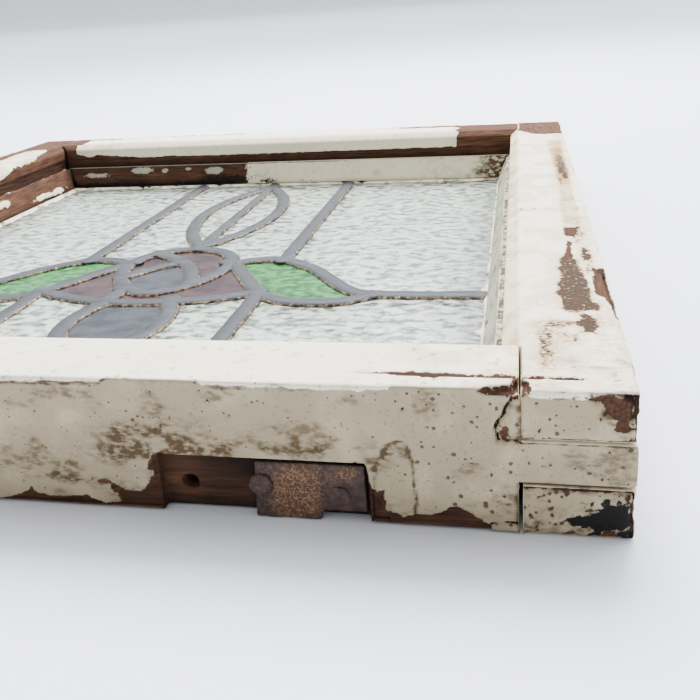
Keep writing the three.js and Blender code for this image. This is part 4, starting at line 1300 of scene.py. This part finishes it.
def build_iron():
    material = iron_material()
    points, quads = remeshed("hinge_leaf", 0.55)
    x, y, h = points.T
    crust = 0.22 * fractal(points, 2.2, 800, 4)
    ridge = 0.7 * blob(x, h, (130.3, 9), (0.9, 6)) + 0.35 * blob(x, h, (109, 5), (1, 5))
    bend = 0.5 * fade(h, 4, 0)
    front = y < 2.2
    points[:, 1] = np.maximum(y - np.where(front, ridge - crust, 0) - bend, 0.25)
    rust = (
        blob(x, h, (121, 11), (8.5, 8)) + 0.9 * blob(x, h, (119.5, 4), (6, 4))
        + 0.8 * blob(x, h, (136, 16), (3, 2.2))
    )
    rust *= 1 - 0.8 * blob(x, h, (132, 8), (4, 4))
    make_piece("hinge_leaf_iron", points, quads, {"rust": np.clip(1.3 * rust, 0, 1)}, material,
               "rusty_iron", "hinge_leaf")
    for number, (centre, slot_angle) in enumerate([((110, 11.1), 0.4), ((132.9, 8), 1.35)], start=1):
        points, quads = remeshed(f"hinge_screw_{number}", 0.4)
        x, y, h = points.T
        head = y < 1.4
        along = (x - centre[0]) * math.cos(slot_angle) + (h - centre[1]) * math.sin(slot_angle)
        across = -(x - centre[0]) * math.sin(slot_angle) + (h - centre[1]) * math.cos(slot_angle)
        slot = (0.5 if number == 2 else 0.2) * np.exp(-(across / 0.7) ** 2) * fade(np.abs(along), 3.6, 2.6)
        crust = 0.2 * fractal(points, 2.0, 840 + number, 3)
        points[:, 1] = np.maximum(y + np.where(head, slot + crust, 0), 0.1)
        rust = np.full(len(points), 0.12)
        make_piece(f"hinge_screw_{number}_head", points, quads, {"rust": rust}, material, "rusty_iron",
                   f"hinge_screw_{number}")


build_rail_bottom()
build_stile_right()
build_rail_top()
build_stile_left()
build_bead("right", mark_bead_right, 1100)
build_bead("top", mark_bead_top, 1200)
build_bead("left", mark_bead_left, 1300)
build_bead("bottom", mark_bead_bottom, 1400)
for number, (side, width) in enumerate({"right": 0.9, "top": 1.6, "left": 2.6, "bottom": 1.0}.items()):
    build_putty(side, width, 1500 + 60 * number)
build_cames()
build_glass()
build_iron()


# ---- camera, light, floor ----

CAMERA_PLACE = Vector((0.18392, -0.19137, 0.12219))
CAMERA_YAW = -0.2175
CAMERA_PITCH = 0.3229
CAMERA_ROLL = -0.0731
CAMERA_LENS = 41.34
CAMERA_SHIFT = -0.12


def make_camera():
    across, ahead = math.cos(CAMERA_YAW), math.sin(CAMERA_YAW)
    level, dip = math.cos(CAMERA_PITCH), math.sin(CAMERA_PITCH)
    forward = Vector((ahead * level, across * level, -dip))
    right = Vector((across, -ahead, 0))
    up = right.cross(forward)
    x_axis = right * math.cos(CAMERA_ROLL) + up * math.sin(CAMERA_ROLL)
    y_axis = up * math.cos(CAMERA_ROLL) - right * math.sin(CAMERA_ROLL)
    turn = Matrix((x_axis, y_axis, -forward)).transposed().to_4x4()
    data = bpy.data.cameras.new("camera")
    data.lens = CAMERA_LENS
    data.sensor_width = 36
    data.shift_y = CAMERA_SHIFT
    data.clip_start = 0.01
    camera = bpy.data.objects.new("camera", data)
    camera.matrix_world = Matrix.Translation(CAMERA_PLACE) @ turn
    bpy.context.scene.collection.objects.link(camera)
    bpy.context.scene.camera = camera


FLOOR_HALF = 30
FLOOR_REACH = 10
FLOOR_BEND = 6
BACKDROP_RISE = 12


def make_floor():
    """A pale floor that sweeps up into a backdrop far behind the window."""
    turn = np.linspace(0, math.pi / 2, 33)
    run = [-FLOOR_HALF, *(FLOOR_REACH + FLOOR_BEND * np.sin(turn)), FLOOR_REACH + FLOOR_BEND]
    rise = [0, *(FLOOR_BEND - FLOOR_BEND * np.cos(turn)), BACKDROP_RISE]
    points = [(x, y, CAD_BOX[0].z + z) for y, z in zip(run, rise) for x in (-FLOOR_HALF, FLOOR_HALF)]
    quads = [(2 * i, 2 * i + 1, 2 * i + 3, 2 * i + 2) for i in range(len(run) - 1)]
    mesh = bpy.data.meshes.new("floor")
    mesh.from_pydata(points, [], quads)
    mesh.polygons.foreach_set("use_smooth", [True] * len(quads))
    floor = bpy.data.objects.new("floor", mesh)
    bpy.context.scene.collection.objects.link(floor)
    s = Shader("floor")
    mesh.materials.append(s.set(Base_Color=tone(238, 241, 250), Roughness=0.9))


def make_light():
    world = bpy.data.worlds.new("studio")
    bpy.context.scene.world = world
    world.use_nodes = True
    tree = world.node_tree
    place = tree.nodes.new("ShaderNodeTexCoord")
    split = tree.nodes.new("ShaderNodeSeparateXYZ")
    glow = tree.nodes.new("ShaderNodeMapRange")
    glow.interpolation_type = "SMOOTHSTEP"
    for socket, value in zip(glow.inputs, (0, -0.2, 0.8, 0.75, 9.5)):
        socket.default_value = value
    tree.links.new(place.outputs["Generated"], split.inputs[0])
    tree.links.new(split.outputs[1], glow.inputs[0])
    tree.links.new(glow.outputs[0], tree.nodes["Background"].inputs[1])
    tree.nodes["Background"].inputs[0].default_value = (0.97, 0.985, 1.0, 1)
    lamp = bpy.data.lights.new("key", "AREA")
    lamp.energy = 80
    lamp.size = 0.9
    key = bpy.data.objects.new("key", lamp)
    key.location = (0.15, 1.1, 1.4)
    key.rotation_euler = (Vector((0, 0.15, 0)) - key.location).to_track_quat("-Z", "Y").to_euler()
    bpy.context.scene.collection.objects.link(key)


make_camera()
make_floor()
make_light()
